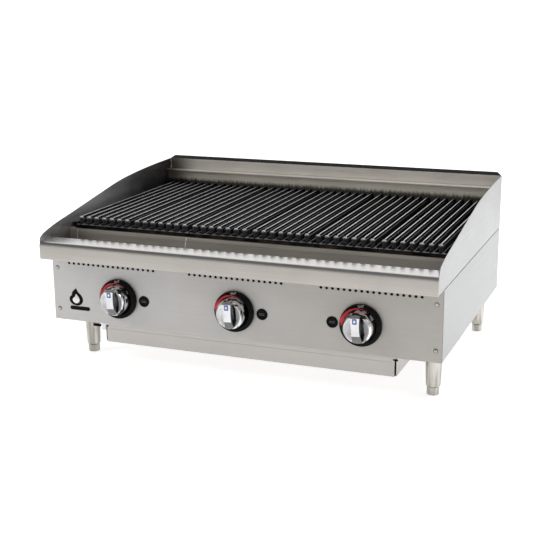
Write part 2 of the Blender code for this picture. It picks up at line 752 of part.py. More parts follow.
def build_tray():
    """Open tray hung on a front plate; the plate reaches down to form the finger lip."""
    origin = world(0.0, TRAY_FRONT_Y, TRAY_Z)
    tray = make(
        "drip_tray", STEEL,
        lambda bm: add_box(
            bm, -TRAY_HALF + 8.0, TRAY_HALF - 8.0, TRAY_FRONT_Y + 0.4, TRAY_REAR_Y, TRAY_Z, TRAY_TOP_Z - 4.0
        ),
        origin,
    )

    def face(bm):
        outline = (
            (TRAY_FRONT_Y, 48.2), (TRAY_FRONT_Y, 73.0), (TRAY_FRONT_Y + 1.0, 75.0),
            (TRAY_FRONT_Y + 1.0, TRAY_TOP_Z), (TRAY_FRONT_Y + 2.4, TRAY_TOP_Z), (TRAY_FRONT_Y + 2.4, 48.2),
        )
        add_prism(bm, "X", outline, -TRAY_HALF, TRAY_HALF)

    def face_top(bm):
        add_box(
            bm, -TRAY_HALF + 3.8, TRAY_HALF - 3.8, TRAY_FRONT_Y + 1.0, TRAY_FRONT_Y + 2.4,
            TRAY_TOP_Z - 2.0, TRAY_FACE_Z,
        )

    def lip(bm):
        add_box(bm, -325.0, 325.0, TRAY_FRONT_Y + 1.0, TRAY_FRONT_Y + 12.0, 48.2, 49.2)

    def hollow(bm):
        add_box(
            bm, -TRAY_HALF + 9.2, TRAY_HALF - 9.2, TRAY_FRONT_Y + 2.6, TRAY_REAR_Y - SHEET,
            TRAY_Z + SHEET, TRAY_TOP_Z + 20.0,
        )

    cut(tray, make_cutter("tray_face", face), "UNION")
    cut(tray, make_cutter("tray_face_top", face_top), "UNION")
    cut(tray, make_cutter("tray_lip", lip), "UNION")
    cut(tray, make_cutter("tray_hollow", hollow))


def build_legs():
    for x, side in ((-LEG_X, "left"), (LEG_X, "right")):
        for y, end in zip(LEG_Y, ("front", "rear")):
            tag = "%s_%s" % (end, side)
            bm = bmesh.new()
            profile = (
                (14.8, LEG_END_Z), (15.8, LEG_END_Z + 1.2), (17.4, 70.0), (18.6, 99.0), (19.8, 102.0),
                (31.0, 103.0), (31.0, LEG_TOP_Z),
            )
            add_lathe(bm, profile, (x, y, 0.0), "Z", 18)
            smooth(finish_mesh("leg_" + tag, bm, NICKEL))
            bm = bmesh.new()
            profile = (
                (FOOT_R - 1.6, 0.0), (FOOT_R, 1.6), (FOOT_R, LEG_END_Z - 3.0), (FOOT_R - 1.2, LEG_END_Z - GAP),
            )
            add_lathe(bm, profile, (x, y, 0.0), "Z", 16)
            smooth(finish_mesh("foot_" + tag, bm, NICKEL, world(x, y, 0.0)))


build_rail()
build_front_panel()
build_sides()
build_rear()
build_firebox()
build_rails()
build_grates()
build_radiants()
build_burners()
build_pipe()
build_valves()
build_pilots()
build_knobs()
build_plugs()
build_base()
build_tray()
build_legs()
bpy.context.view_layer.update()
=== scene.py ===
"""Countertop gas charbroiler: the looks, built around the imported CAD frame.

Shapes are in millimetres: x to the right of the middle, y back from the rail's front face and
z up from the floor; spot() turns them into metres in the row frame. Materials, camera and lights
are in metres.
"""
import json
from math import cos, exp, hypot, pi, radians, sin, sqrt

import bmesh
import bpy
from mathutils import Matrix, Vector

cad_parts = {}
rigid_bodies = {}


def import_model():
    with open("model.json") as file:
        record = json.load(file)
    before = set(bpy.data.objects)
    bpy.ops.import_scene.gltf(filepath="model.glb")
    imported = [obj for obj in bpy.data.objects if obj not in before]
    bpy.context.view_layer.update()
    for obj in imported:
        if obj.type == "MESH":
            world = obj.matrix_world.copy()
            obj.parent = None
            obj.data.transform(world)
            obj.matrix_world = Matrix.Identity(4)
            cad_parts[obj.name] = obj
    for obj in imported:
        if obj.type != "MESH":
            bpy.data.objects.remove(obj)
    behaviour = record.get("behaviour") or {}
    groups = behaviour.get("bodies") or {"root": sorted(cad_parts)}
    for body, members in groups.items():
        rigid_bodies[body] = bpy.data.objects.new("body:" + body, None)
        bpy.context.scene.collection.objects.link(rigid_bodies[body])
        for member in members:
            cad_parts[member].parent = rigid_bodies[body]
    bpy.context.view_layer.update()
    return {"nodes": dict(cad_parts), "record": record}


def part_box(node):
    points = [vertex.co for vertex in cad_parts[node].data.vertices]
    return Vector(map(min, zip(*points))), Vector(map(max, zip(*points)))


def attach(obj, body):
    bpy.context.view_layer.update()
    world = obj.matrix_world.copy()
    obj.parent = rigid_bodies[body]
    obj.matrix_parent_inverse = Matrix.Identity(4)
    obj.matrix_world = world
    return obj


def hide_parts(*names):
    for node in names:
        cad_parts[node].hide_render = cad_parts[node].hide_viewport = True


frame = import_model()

MM = 0.001
FRONT_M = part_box("front_rail")[0].y
NODES = frame["nodes"]
BODY_OF = {n: b for b, names in frame["record"]["behaviour"]["bodies"].items() for n in names}

# ---- dimensions
HALF_W = 457.2
SHEET = 1.2
PANEL_Y = 48.6
PANEL_HALF = 456.9
PANEL_Z = (106.3, 292.0)
SEAM_Z = 260.0
REAR_Y = 663.5
KNOB_X = (-285.75, 0.0, 285.75)
KNOB_Z = 170.8
PLUG_DX = (63.5, 63.5, -63.5)
PLUG_Z = 169.8
VENT_GROUPS = (-304.8, 0.0, 304.8)
VENT_PITCH = 12.7
VENT_COUNT = 18
VENT_R = 2.9
VENT_Z = 242.7
VENT_STRETCH = 1.18
SHAFT_HOLE_R = 8.0
PLUG_HOLE_R = 11.0
SCREWS = ((-443.8, 132.0), (-443.8, 230.0), (443.8, 132.0), (443.8, 230.0))
INNER_HALF = 455.4
RAIL_BEND = (10.0, 290.0)
RAIL_BEND_R = 10.0
SPLASH_SHEET = 1.5
FLANGE_Z = 391.5
REAR_TOP = 362.0
REAR_SLOTS = 9
REAR_SLOT_PITCH = 75.0
REAR_SLOT_Z = 181.0
REAR_SLOT_HALF = 21.0
REAR_SLOT_R = 3.0
GAS_INLET = (405.0, 125.0)
GAS_INLET_R = 14.5
GRATE_PITCH = 147.0
GRATE_W = 146.0
GRATE_Y = (130.0, 641.0)
GRATE_LOW, GRATE_WEB, GRATE_TOP = 306.5, 315.0, 334.0
CROSS_BARS = ((130.0, 139.0), (296.0, 308.0), (458.0, 470.0), (626.0, 641.0))
BARS = 7
BAR_PITCH = 20.2
BAR_FOOT = [(4.4, GRATE_LOW), (5.8, GRATE_LOW + 0.4), (6.3, GRATE_LOW + 1.6), (6.35, GRATE_WEB - 0.7)]
BAR_END = 1.0
BAR_ROLL = 7.0
NOSE_R = 5.7
NOSE_SETBACK = 1.6
LEG_X = 418.0
LEG_Y = (148.0, 620.0)
# small dark blocks standing in for shadow gaps by the tray and at the tops of the legs: painted shade
SHADOW_GAP_BLOCKS = (
    (347.4, 354.0, 91.4, 92.9, 83.8, 87.9), (-404.0, -385.0, 126.0, 131.0, 69.6, 75.0),
    (396.0, 400.4, 134.0, 139.0, 92.0, 102.0),
)
HOUSING_TAB = (-360.0, -349.6, 91.0, 92.2, 76.0, 105.0)
SPLASH_EDGE = (
    (1.8, 302.0), (4.0, 307.5), (10.0, 312.5), (24.0, 318.5), (73.0, 329.5), (140.0, 340.0),
    (207.0, 351.0), (274.0, 361.8), (327.0, 370.5), (372.0, 377.0), (420.0, 381.5), (497.0, 386.5),
    (580.0, 389.6), (663.2, 391.0),
)

# ---- camera, in metres and degrees
CAMERA_AT = (0.91567, -2.37451, 0.86268)
CAMERA_YAW_PITCH_ROLL = (22.00159, 14.62349, -0.60516)
CAMERA_LENS = 73.855


def spot(x, y, z):
    """Point in metres of a point in millimetres from the rail's front face."""
    return Vector((x * MM, y * MM + FRONT_M, z * MM))


# ---- material helpers
class Nodes:
    """A new material, with short calls for the nodes used here."""

    def __init__(self, name):
        self.mat = bpy.data.materials.new(name)
        self.mat.use_nodes = True
        self.tree = self.mat.node_tree
        self.shader = self.tree.nodes["Principled BSDF"]
        self.coord = self.tree.nodes.new("ShaderNodeTexCoord").outputs["Object"]

    def link(self, source, target):
        self.tree.links.new(source, target)

    def feed(self, socket, value):
        """Link an output to a socket, or set a number or colour on it."""
        if isinstance(value, tuple):
            socket.default_value = (*value, 1.0)
        elif isinstance(value, float):
            socket.default_value = value
        else:
            self.link(value, socket)

    def set(self, **values):
        for key, value in values.items():
            self.shader.inputs[key.replace("_", " ")].default_value = value

    def noise(self, scale, detail=3.0, rough=0.55, distortion=0.0):
        """Noise with features 1/scale metres long, one scale for all axes or one for each."""
        mapping = self.tree.nodes.new("ShaderNodeMapping")
        mapping.inputs["Scale"].default_value = scale if isinstance(scale, tuple) else grey(scale)
        self.link(self.coord, mapping.inputs["Vector"])
        noise = self.tree.nodes.new("ShaderNodeTexNoise")
        noise.inputs["Scale"].default_value = 1.0
        noise.inputs["Detail"].default_value = detail
        noise.inputs["Roughness"].default_value = rough
        noise.inputs["Distortion"].default_value = distortion
        self.link(mapping.outputs["Vector"], noise.inputs["Vector"])
        return noise.outputs["Fac"]

    def spread(self, value, low, high, out_low=0.0, out_high=1.0):
        """Map low..high to out_low..out_high, clamped, with smooth ends."""
        node = self.tree.nodes.new("ShaderNodeMapRange")
        node.interpolation_type = "SMOOTHSTEP"
        keys = ("From Min", "From Max", "To Min", "To Max")
        for key, number in zip(keys, (low, high, out_low, out_high)):
            node.inputs[key].default_value = number
        self.link(value, node.inputs["Value"])
        return node.outputs["Result"]

    def math(self, operation, a, b):
        node = self.tree.nodes.new("ShaderNodeMath")
        node.operation = operation
        for socket, value in zip(node.inputs, (a, b)):
            self.feed(socket, value)
        return node.outputs[0]

    def plus(self, a, b):
        return self.math("ADD", a, b)

    def less(self, a, b):
        return self.math("SUBTRACT", a, b)

    def times(self, a, b):
        return self.math("MULTIPLY", a, b)

    def mix(self, factor, a, b, blend="MIX"):
        """Colour a where factor is 0, b where it is 1; a and b are colours or outputs."""
        node = self.tree.nodes.new("ShaderNodeMix")
        node.data_type = "RGBA"
        node.blend_type = blend
        for socket, value in zip([s for s in node.inputs if s.type == "RGBA"], (a, b)):
            self.feed(socket, value)
        self.feed(node.inputs["Factor"], factor)
        return [s for s in node.outputs if s.type == "RGBA"][0]

    def tinted(self, a, b):
        """Product of two colours."""
        return self.mix(1.0, a, b, "MULTIPLY")

    def axis(self, name):
        node = self.tree.nodes.new("ShaderNodeSeparateXYZ")
        self.link(self.coord, node.inputs[0])
        return node.outputs[name]

    def normal(self, name):
        geometry = self.tree.nodes.new("ShaderNodeNewGeometry")
        node = self.tree.nodes.new("ShaderNodeSeparateXYZ")
        self.link(geometry.outputs["Normal"], node.inputs[0])
        return node.outputs[name]

    def bump(self, layers):
        """Stack of (height output, strength, distance in metres)."""
        previous = None
        for height, strength, distance in layers:
            node = self.tree.nodes.new("ShaderNodeBump")
            node.inputs["Strength"].default_value = strength
            node.inputs["Distance"].default_value = distance
            self.link(height, node.inputs["Height"])
            if previous is not None:
                self.link(previous, node.inputs["Normal"])
            previous = node.outputs["Normal"]
        self.link(previous, self.shader.inputs["Normal"])

    def colour(self, socket):
        self.link(socket, self.shader.inputs["Base Color"])

    def rough(self, socket):
        self.link(socket, self.shader.inputs["Roughness"])


class Sky(Nodes):
    """The world's node tree; axis() then gives the direction looked in."""

    def __init__(self, name):
        self.world = bpy.data.worlds.new(name)
        self.world.use_nodes = True
        self.tree = self.world.node_tree
        self.coord = self.tree.nodes.new("ShaderNodeTexCoord").outputs["Generated"]


def grey(value):
    return (value, value, value)


def grained(axis, along, across):
    """Noise scale with long features along one axis ("X", "Y" or "Z")."""
    return tuple(along if a == axis else across for a in "XYZ")


def shade(colour, factor):
    return tuple(min(c * factor, 1.0) for c in colour)


def panel_painted_shade(n):
    """Painted shade: the panel a shade darker and warmer towards the right end."""
    return n.mix(n.spread(n.axis("X"), -0.42, 0.46), (1.0, 1.0, 1.015), (0.835, 0.815, 0.785))


def rail_painted_shade(n):
    """Painted shade: upright face a shade darker and warmer than the top, most at the left end."""
    face = n.mix(n.spread(n.axis("X"), -0.46, 0.46), (0.88, 0.86, 0.83), (0.93, 0.90, 0.86))
    return n.mix(n.spread(n.normal("Z"), 0.05, 0.45), face, (0.94, 0.94, 0.95))


def rail_haze(n):
    """Coarser polish round the bend between face and top."""
    rise = n.spread(n.normal("Z"), 0.02, 0.35)
    level_off = n.spread(n.normal("Z"), 0.78, 0.97, 1.0, 0.0)
    return n.times(n.times(rise, level_off), 0.26)


def corner_painted_shadow_and_smoke(n):
    """Left end of the rear splash and of the wall under it darkened: painted shadow, and smoke."""
    smoke = n.times(n.noise((16.0, 16.0, 30.0), 3.0, 0.55, 0.4), 0.03)
    reach = n.spread(n.plus(n.axis("X"), smoke), -0.432, -0.355)
    return n.mix(reach, (0.26, 0.245, 0.235), grey(1.0))


def wall_soot_and_painted_shadow(n):
    """Rear wall of the firebox, blackened in a ragged line just above the grates: soot, and the bars'
    painted shadow.
    """
    ragged = n.times(n.noise((220.0, 12.0, 40.0), 3.0, 0.6), 0.014)
    clear = n.spread(n.less(n.axis("Z"), ragged), 0.326, 0.338)
    return n.tinted(corner_painted_shadow_and_smoke(n), n.mix(clear, (0.10, 0.095, 0.09), (0.92, 0.90, 0.88)))


def soot_and_painted_light(n):
    """Inner sides of the splash guards: smoked brown close to the grates, lightened higher up as painted
    light, darker towards the rear.
    """
    inner = n.spread(n.times(n.normal("X"), n.axis("X")), -0.3, 0.3, 1.0, 0.0)
    patch = n.noise((14.0, 14.0, 22.0), 3.0, 0.55, 0.5)
    height = n.plus(n.axis("Z"), n.times(patch, 0.03))
    low = n.spread(height, 0.300, 0.350, 1.0, 0.0)
    depth = n.plus(n.axis("Y"), n.times(patch, 0.10))
    rear = n.spread(depth, FRONT_M + 0.24, FRONT_M + 0.58)
    lit_or_smoked = n.mix(low, (1.90, 1.90, 1.95), (0.62, 0.57, 0.54))
    return n.mix(inner, grey(1.0), n.mix(rear, lit_or_smoked, (0.22, 0.21, 0.21)))


def brushed(name, axis, base, low, high, grain=0.05, smudge=0.06, metallic=1.0, tint=None, haze=None):
    """Brushed stainless sheet with its grain along an axis and roughness between low and high."""
    n = Nodes(name)
    n.set(Metallic=metallic)
    fine = n.noise(grained(axis, 14.0, 2600.0), 2.0)
    streak = n.noise(grained(axis, 5.0, 420.0), 3.0)
    cloud = n.noise(9.0, 3.0, 0.5, 0.4)
    tone = n.plus(n.times(fine, 0.35), n.times(streak, 0.65))
    dark, light = shade(base, 1.0 - smudge), shade(base, 1.0 + smudge)
    grain_tone = n.mix(n.spread(tone, 0.35, 0.65), dark, light)
    patch = n.mix(n.spread(cloud, 0.3, 0.7), grey(0.93), grey(1.0))
    colour = n.tinted(grain_tone, patch)
    n.colour(n.tinted(colour, tint(n)) if tint else colour)
    rough = n.spread(n.plus(n.times(streak, 0.6), n.times(cloud, 0.4)), 0.3, 0.7, low, high)
    n.rough(n.plus(rough, haze(n)) if haze else rough)
    n.bump([(fine, grain, 0.0004), (streak, grain * 0.5, 0.0008)])
    return n.mat


def cast_iron(name, wear_and_highlight_strength, top_z):
    """Seasoned cast iron: near black and gritty, rusty low down, rubbed bright near its top, partly as a
    painted highlight.

    The grates' noses are a little lighter as painted light, with painted highlights on their caps; the
    bright tops fade as painted shade near the rear wall, and everything is darker towards the rear.
    """
    n = Nodes(name)
    grit = n.noise(700.0, 3.0, 0.6)
    lumps = n.noise(120.0, 3.0, 0.55)
    patch = n.noise(26.0, 3.0)
    # painted highlight as well as wear: faces near the top that face up are made bright
    up = n.spread(n.normal("Z"), 0.66, 0.95)
    deep = n.spread(n.axis("Y"), FRONT_M + 0.16, FRONT_M + 0.46)
    low = n.less(0.24, n.times(deep, 0.17))
    high = n.math("MAXIMUM", n.spread(n.axis("Z"), (top_z - 4.6) * MM, (top_z - 2.4) * MM), low)
    wear_and_highlight = n.times(n.times(up, high), n.spread(lumps, 0.32, 0.62, 0.6 * wear_and_highlight_strength, wear_and_highlight_strength))
    body = n.mix(n.spread(patch, 0.35, 0.65), (0.004, 0.004, 0.005), (0.010, 0.0095, 0.0095))
    # painted light: the noses lighter than the rest of the casting
    front = n.spread(n.axis("Y"), FRONT_M + 0.141, FRONT_M + 0.147, 1.0, 0.0)
    nose = n.times(front, n.spread(n.axis("Z"), 0.3165, 0.3195))
    body = n.mix(nose, body, (0.042, 0.042, 0.045))
    rust = n.times(n.spread(patch, 0.42, 0.68), n.spread(n.axis("Z"), 0.307, 0.317, 1.0, 0.0))
    body = n.mix(rust, body, (0.045, 0.030, 0.020))
    body = n.tinted(body, n.mix(deep, grey(1.0), (0.32, 0.32, 0.33)))
    # painted highlight round the noses' caps
    cap = n.times(nose, n.spread(n.normal("Z"), 0.20, 0.85, 0.0, 0.75 * wear_and_highlight_strength))
    wear_and_highlight = n.math("MAXIMUM", wear_and_highlight, cap)
    # painted shade: the bright tops fade out close to the rear wall, and a little towards the rear
    wear_and_highlight = n.times(wear_and_highlight, n.spread(n.axis("Y"), FRONT_M + 0.585, FRONT_M + 0.622, 1.0, 0.15))
    wear_and_highlight = n.times(wear_and_highlight, n.spread(n.axis("Y"), FRONT_M + 0.20, FRONT_M + 0.55, 1.0, 0.84))
    n.colour(n.mix(wear_and_highlight, body, (0.66, 0.66, 0.67)))
    n.set(Specular_IOR_Level=0.03)
    n.link(wear_and_highlight, n.shader.inputs["Metallic"])
    n.rough(n.less(n.spread(grit, 0.3, 0.7, 0.52, 0.66), n.times(wear_and_highlight, 0.26)))
    n.bump([(lumps, 0.25, 0.0008), (grit, 0.35, 0.0003)])
    return n.mat


def plain_cast(name, dark, light, low, high, metallic):
    """Cast or turned metal with fine mottling and an even roughness range."""
    n = Nodes(name)
    grit = n.noise(900.0, 2.0)
    cloud = n.noise(60.0, 3.0)
    n.colour(n.mix(n.spread(cloud, 0.3, 0.7), dark, light))
    n.set(Metallic=metallic)
    n.rough(n.spread(n.plus(n.times(grit, 0.5), n.times(cloud, 0.5)), 0.35, 0.65, low, high))
    n.bump([(cloud, 0.08, 0.0006), (grit, 0.10, 0.0002)])
    return n.mat


def painted_reflection_metal(name, dark, light, low, high, metallic=1.0, start=0.36, stop=0.60):
    """Polished metal with upright bands of darker and lighter tone: painted reflections."""
    n = Nodes(name)
    bands = n.noise((85.0, 85.0, 9.0), 2.0, 0.5, 0.3)
    grit = n.noise(900.0, 2.0)
    n.colour(n.mix(n.spread(bands, start, stop), dark, light))
    n.set(Metallic=metallic)
    n.rough(n.spread(n.plus(n.times(grit, 0.5), n.times(bands, 0.5)), 0.35, 0.65, low, high))
    n.bump([(grit, 0.05, 0.0001)])
    return n.mat


def moulded(name, dark, light, low, high, specular=0.5, coat=0.5):
    """Moulded or enamelled finish: faint texture, slight clouding, clear coat."""
    n = Nodes(name)
    grit = n.noise(1500.0, 2.0)
    cloud = n.noise(70.0, 2.0)
    n.colour(n.mix(n.spread(cloud, 0.3, 0.7), dark, light))
    n.rough(n.spread(cloud, 0.3, 0.7, low, high))
    n.set(Specular_IOR_Level=specular, Coat_Weight=coat, Coat_Roughness=0.08)
    n.bump([(grit, 0.06, 0.0001)])
    return n.mat


STEEL = (0.430, 0.420, 0.407)
STEEL_TRAY = (0.482, 0.464, 0.438)
STEEL_RAIL = (0.55, 0.535, 0.515)
STEEL_SIDE = (0.370, 0.373, 0.376)
LOOK = {
    "front": brushed("steel_front", "X", shade(STEEL, 1.21), 0.42, 0.52, 0.02, 0.025, 0.4, panel_painted_shade),
    "rail": brushed("steel_rail", "X", STEEL_RAIL, 0.14, 0.20, 0.014, 0.03, 1.0, rail_painted_shade, rail_haze),
    "side": brushed("steel_side", "Y", STEEL_SIDE, 0.32, 0.42, 0.02, 0.02),
    # splash guards: the side steel a shade darker, painted shade; their inner sides take smoke and painted
    # light
    "splash_side": brushed(
        "steel_splash_side", "Y", shade(STEEL_SIDE, 0.90), 0.26, 0.36, 0.02, 0.025, 0.85, soot_and_painted_light
    ),
    # the rear splash's top flange, a dark copy of its steel: painted dark reflection
    "flange": brushed("steel_flange_dark_reflection", "X", (0.20, 0.195, 0.19), 0.16, 0.26, 0.02, 0.05),
    # dark steel for painted shade: rings round the screw heads and strips along the cabinet's front
    # corners
    "fold": brushed("steel_painted_shade", "Z", grey(0.10), 0.30, 0.45, 0.02, 0.10),
    "rear": brushed(
        "steel_rear_splash", "X", (0.80, 0.755, 0.69), 0.34, 0.44, 0.03, 0.04, 0.7, corner_painted_shadow_and_smoke
    ),
    "back": brushed("steel_back", "X", (0.36, 0.355, 0.345), 0.34, 0.46, 0.03, 0.05),
    "inner": brushed("steel_firebox", "X", (0.50, 0.47, 0.43), 0.34, 0.50, 0.06, 0.12, 0.6),
    # the firebox's rear wall: a lighter, warmer copy of the firebox steel, painted light
    "rear_wall": brushed(
        "steel_rear_wall", "X", (0.98, 0.89, 0.77), 0.36, 0.50, 0.06, 0.16, 0.6, wall_soot_and_painted_shadow
    ),
    "trough": brushed("steel_trough", "X", (0.50, 0.475, 0.44), 0.28, 0.40, 0.04, 0.08, 0.7),
    "bead": brushed("weld_bead", "Z", (0.96, 0.91, 0.83), 0.30, 0.42, 0.03, 0.06, 0.5),
    "tray": brushed("steel_tray", "X", STEEL_TRAY, 0.30, 0.42, 0.02, 0.03),
    "tab": brushed("steel_tab", "X", (0.70, 0.70, 0.71), 0.30, 0.42, 0.02, 0.03),
    "iron": cast_iron("cast_iron_grate", 0.9, 334.0),
    "iron_inner": cast_iron("cast_iron_radiant", 0.12, 260.0),
    "burner": plain_cast("cast_iron_burner", (0.035, 0.033, 0.031), (0.07, 0.062, 0.055), 0.55, 0.75, 0.5),
    "chrome": plain_cast("chrome", (0.56, 0.56, 0.58), (0.66, 0.66, 0.68), 0.05, 0.10, 1.0),
    # legs in satin nickel, with painted reflections in upright bands
    "nickel": painted_reflection_metal("satin_nickel", (0.33, 0.315, 0.285), (0.57, 0.55, 0.51), 0.24, 0.36),
    # knob zones in chrome, each painted with its reflection: dark on the wall right of the grip, banded on
    # the flank, dark over the top of the flank, bright in the scoops
    "wall": painted_reflection_metal("chrome_wall_dark_reflection", (0.01, 0.01, 0.012), (0.16, 0.16, 0.17), 0.08, 0.14),
    "flank": painted_reflection_metal("chrome_flank", (0.03, 0.03, 0.035), (0.88, 0.88, 0.90), 0.05, 0.10, 1.0, 0.45, 0.57),
    "flank_top": painted_reflection_metal(
        "chrome_flank_top_dark_reflection", (0.02, 0.02, 0.022), (0.80, 0.80, 0.82), 0.22, 0.32, 0.6, 0.42, 0.54
    ),
    "scoop": painted_reflection_metal("chrome_scoop", (0.72, 0.72, 0.73), (0.86, 0.86, 0.87), 0.20, 0.30, 0.30),
    "brass": plain_cast("brass", (0.55, 0.40, 0.17), (0.68, 0.50, 0.24), 0.28, 0.42, 1.0),
    "pipe": plain_cast("black_pipe", (0.025, 0.025, 0.027), (0.05, 0.05, 0.052), 0.40, 0.55, 0.6),
    "tube": plain_cast("aluminium_tube", (0.55, 0.55, 0.56), (0.66, 0.66, 0.67), 0.30, 0.42, 1.0),
    "screw": plain_cast("screw_zinc", (0.46, 0.42, 0.35), (0.60, 0.56, 0.48), 0.25, 0.40, 1.0),
    "dial": moulded("dial_black", grey(0.004), grey(0.008), 0.24, 0.34, 0.05, 0.0),
    "plug": moulded("plug_black", grey(0.003), grey(0.006), 0.34, 0.46, 0.06, 0.0),
    # the plug's ribs, lighter than its black cap: painted highlight
    "rib": moulded("plug_rib", (0.10, 0.10, 0.103), (0.15, 0.15, 0.153), 0.35, 0.50, 0.4, 0.0),
    "red": moulded("dial_red", (0.50, 0.014, 0.020), (0.62, 0.026, 0.034), 0.30, 0.40, 0.3, 0.0),
    "white": moulded("dial_white", grey(0.50), grey(0.58), 0.35, 0.45, 0.2, 0.0),
    "blue": moulded("mark_blue", (0.035, 0.10, 0.30), (0.05, 0.14, 0.38), 0.25, 0.35),
    "gap": moulded("shadow_gap", grey(0.003), grey(0.007), 0.7, 0.9, 0.1, 0.0),
    # firebox side liners near black: partly soot, partly painted shade at the grates' ends
    "soot": brushed("steel_sooty_and_shaded", "Y", (0.075, 0.070, 0.066), 0.40, 0.60, 0.06, 0.25),
    # the grip's lower end: a painted dark reflection
    "end": brushed("knob_end", "X", (0.20, 0.205, 0.20), 0.28, 0.40, 0.04, 0.10),
}


# ---- mesh helpers
def finish_piece(name, shape, look, stands_for=(), body="chassis", degrees=32.0):
    """Make an object of a mesh or bmesh, shade it, give it its finish and ride it on a body."""
    mesh = as_mesh(shape)
    mesh.name = name
    for key in (look if isinstance(look, tuple) else (look,)):
        mesh.materials.append(LOOK[key])
    mesh.shade_smooth()
    mesh.set_sharp_from_angle(angle=radians(degrees))
    obj = bpy.data.objects.new(name, mesh)
    bpy.context.scene.collection.objects.link(obj)
    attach(obj, body)
    if stands_for:
        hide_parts(*stands_for)
    return obj


def as_mesh(shape):
    """The shape itself if it is a mesh already, or a bmesh's mesh, welded and facing outwards."""
    if isinstance(shape, bpy.types.Mesh):
        return shape
    bmesh.ops.remove_doubles(shape, verts=shape.verts, dist=1e-6)
    bmesh.ops.recalc_face_normals(shape, faces=shape.faces)
    mesh = bpy.data.meshes.new("scratch")
    shape.to_mesh(mesh)
    shape.free()
    return mesh


def applied(obj):
    """The object's mesh with its modifiers applied; the object is removed."""
    graph = bpy.context.evaluated_depsgraph_get()
    mesh = bpy.data.meshes.new_from_object(obj.evaluated_get(graph))
    bpy.data.objects.remove(obj)
    return mesh


def scratch(data):
    obj = bpy.data.objects.new("scratch", data)
    bpy.context.scene.collection.objects.link(obj)
    return obj


def bevelled(shape, width, segments=2):
    """Mesh of a shape with its sharp edges rounded."""
    obj = scratch(as_mesh(shape))
    bevel = obj.modifiers.new("bevel", "BEVEL")
    bevel.width = width * MM
    bevel.segments = segments
    bevel.limit_method = "ANGLE"
    bevel.angle_limit = radians(35.0)
    bevel.use_clamp_overlap = True
    return applied(obj)


def weighted(obj):
    """Keep the flats of a rounded piece flat in its shading."""
    flats = obj.modifiers.new("flats", "WEIGHTED_NORMAL")
    flats.keep_sharp = True
    return obj


def lathe(bm, profile, centre, axis, segments, closed=False):
    """Turn (radius, height) points about the Z or -Y axis; heights run along it from centre."""
    turn = {"Z": Matrix.Identity(3), "-Y": Matrix.Rotation(radians(90.0), 3, "X")}[axis]
    base = spot(*centre)
    rings = []
    for radius, height in profile:
        ring = []
        for k in range(segments if radius > 1e-6 else 1):
            angle = 2.0 * pi * k / segments
            local = Vector((radius * cos(angle), radius * sin(angle), height))
            ring.append(bm.verts.new(base + turn @ (local * MM)))
        rings.append(ring)
    for low, high in zip(rings, rings[1:] + (rings[:1] if closed else [])):
        for k in range(segments):
            n = (k + 1) % segments
            corners = [low[k % len(low)], low[n % len(low)], high[n % len(high)], high[k % len(high)]]
            unique = list(dict.fromkeys(corners))
            if len(unique) > 2:
                bm.faces.new(unique)
    for ring, flip in ((rings[0], True), (rings[-1], False)):
        if len(ring) > 1 and not closed:
            bm.faces.new(ring[::-1] if flip else ring)


def prism(bm, axis, outline, low, high):
    """Extrude a closed outline along X (y, z points), Y (x, z points) or Z (x, y points)."""
    place = {
        "X": lambda a, b, level: spot(level, a, b),
        "Y": lambda a, b, level: spot(a, level, b),
        "Z": lambda a, b, level: spot(a, b, level),
    }[axis]
    rings = [[bm.verts.new(place(a, b, level)) for a, b in outline] for level in (low, high)]
    count = len(outline)
    for i in range(count):
        j = (i + 1) % count
        bm.faces.new((rings[0][i], rings[0][j], rings[1][j], rings[1][i]))
    bm.faces.new(rings[0][::-1])
    bm.faces.new(rings[1])


def box(bm, x0, x1, y0, y1, z0, z1):
    prism(bm, "Z", ((x0, y0), (x1, y0), (x1, y1), (x0, y1)), z0, z1)


def sheet_outline(path, thickness):
    """Closed outline of a folded sheet: the path plus its offset to the left of travel."""
    normals = []
    for (a0, b0), (a1, b1) in zip(path, path[1:]):
        length = hypot(a1 - a0, b1 - b0)
        normals.append((-(b1 - b0) / length, (a1 - a0) / length))
    offset = []
    for i, (a, b) in enumerate(path):
        before = normals[max(i - 1, 0)]
        after = normals[min(i, len(path) - 2)]
        scale = thickness / (1.0 + before[0] * after[0] + before[1] * after[1])
        offset.append((a + (before[0] + after[0]) * scale, b + (before[1] + after[1]) * scale))
    return list(path) + offset[::-1]


def arc(centre, radius, start, end, steps):
    """Points on a circle from start to end degrees."""
    return [
        (centre[0] + radius * cos(radians(start + (end - start) * k / steps)),
         centre[1] + radius * sin(radians(start + (end - start) * k / steps)))
        for k in range(steps + 1)
    ]


def circle(x, y, radius, steps):
    return arc((x, y), radius, 0.0, 360.0, steps)[:-1]


def smooth_step(t):
    t = min(max(t, 0.0), 1.0)
    return t * t * (3.0 - 2.0 * t)


def smooth_line(points, steps):
    """Catmull-Rom curve through the points."""
    line = []
    for i in range(len(points) - 1):
        p0 = points[max(i - 1, 0)]
        p1, p2 = points[i], points[i + 1]
        p3 = points[min(i + 2, len(points) - 1)]
        for k in range(steps):
            t = k / steps
            line.append(tuple(
                0.5 * (2.0 * b + (c - a) * t + (2.0 * a - 5.0 * b + 4.0 * c - d) * t * t
                       + (3.0 * b - a - 3.0 * c + d) * t ** 3)
                for a, b, c, d in zip(p0, p1, p2, p3)
            ))
    line.append(points[-1])
    return line


def closed_curve(points, steps):
    return smooth_line(points + points[:1], steps)[:-1]


def capsule(x, z, half, radius, steps):
    """Outline of a bar with round ends whose centres are half to each side of x."""
    return arc((x + half, z), radius, -90.0, 90.0, steps) + arc((x - half, z), radius, 90.0, 270.0, steps)


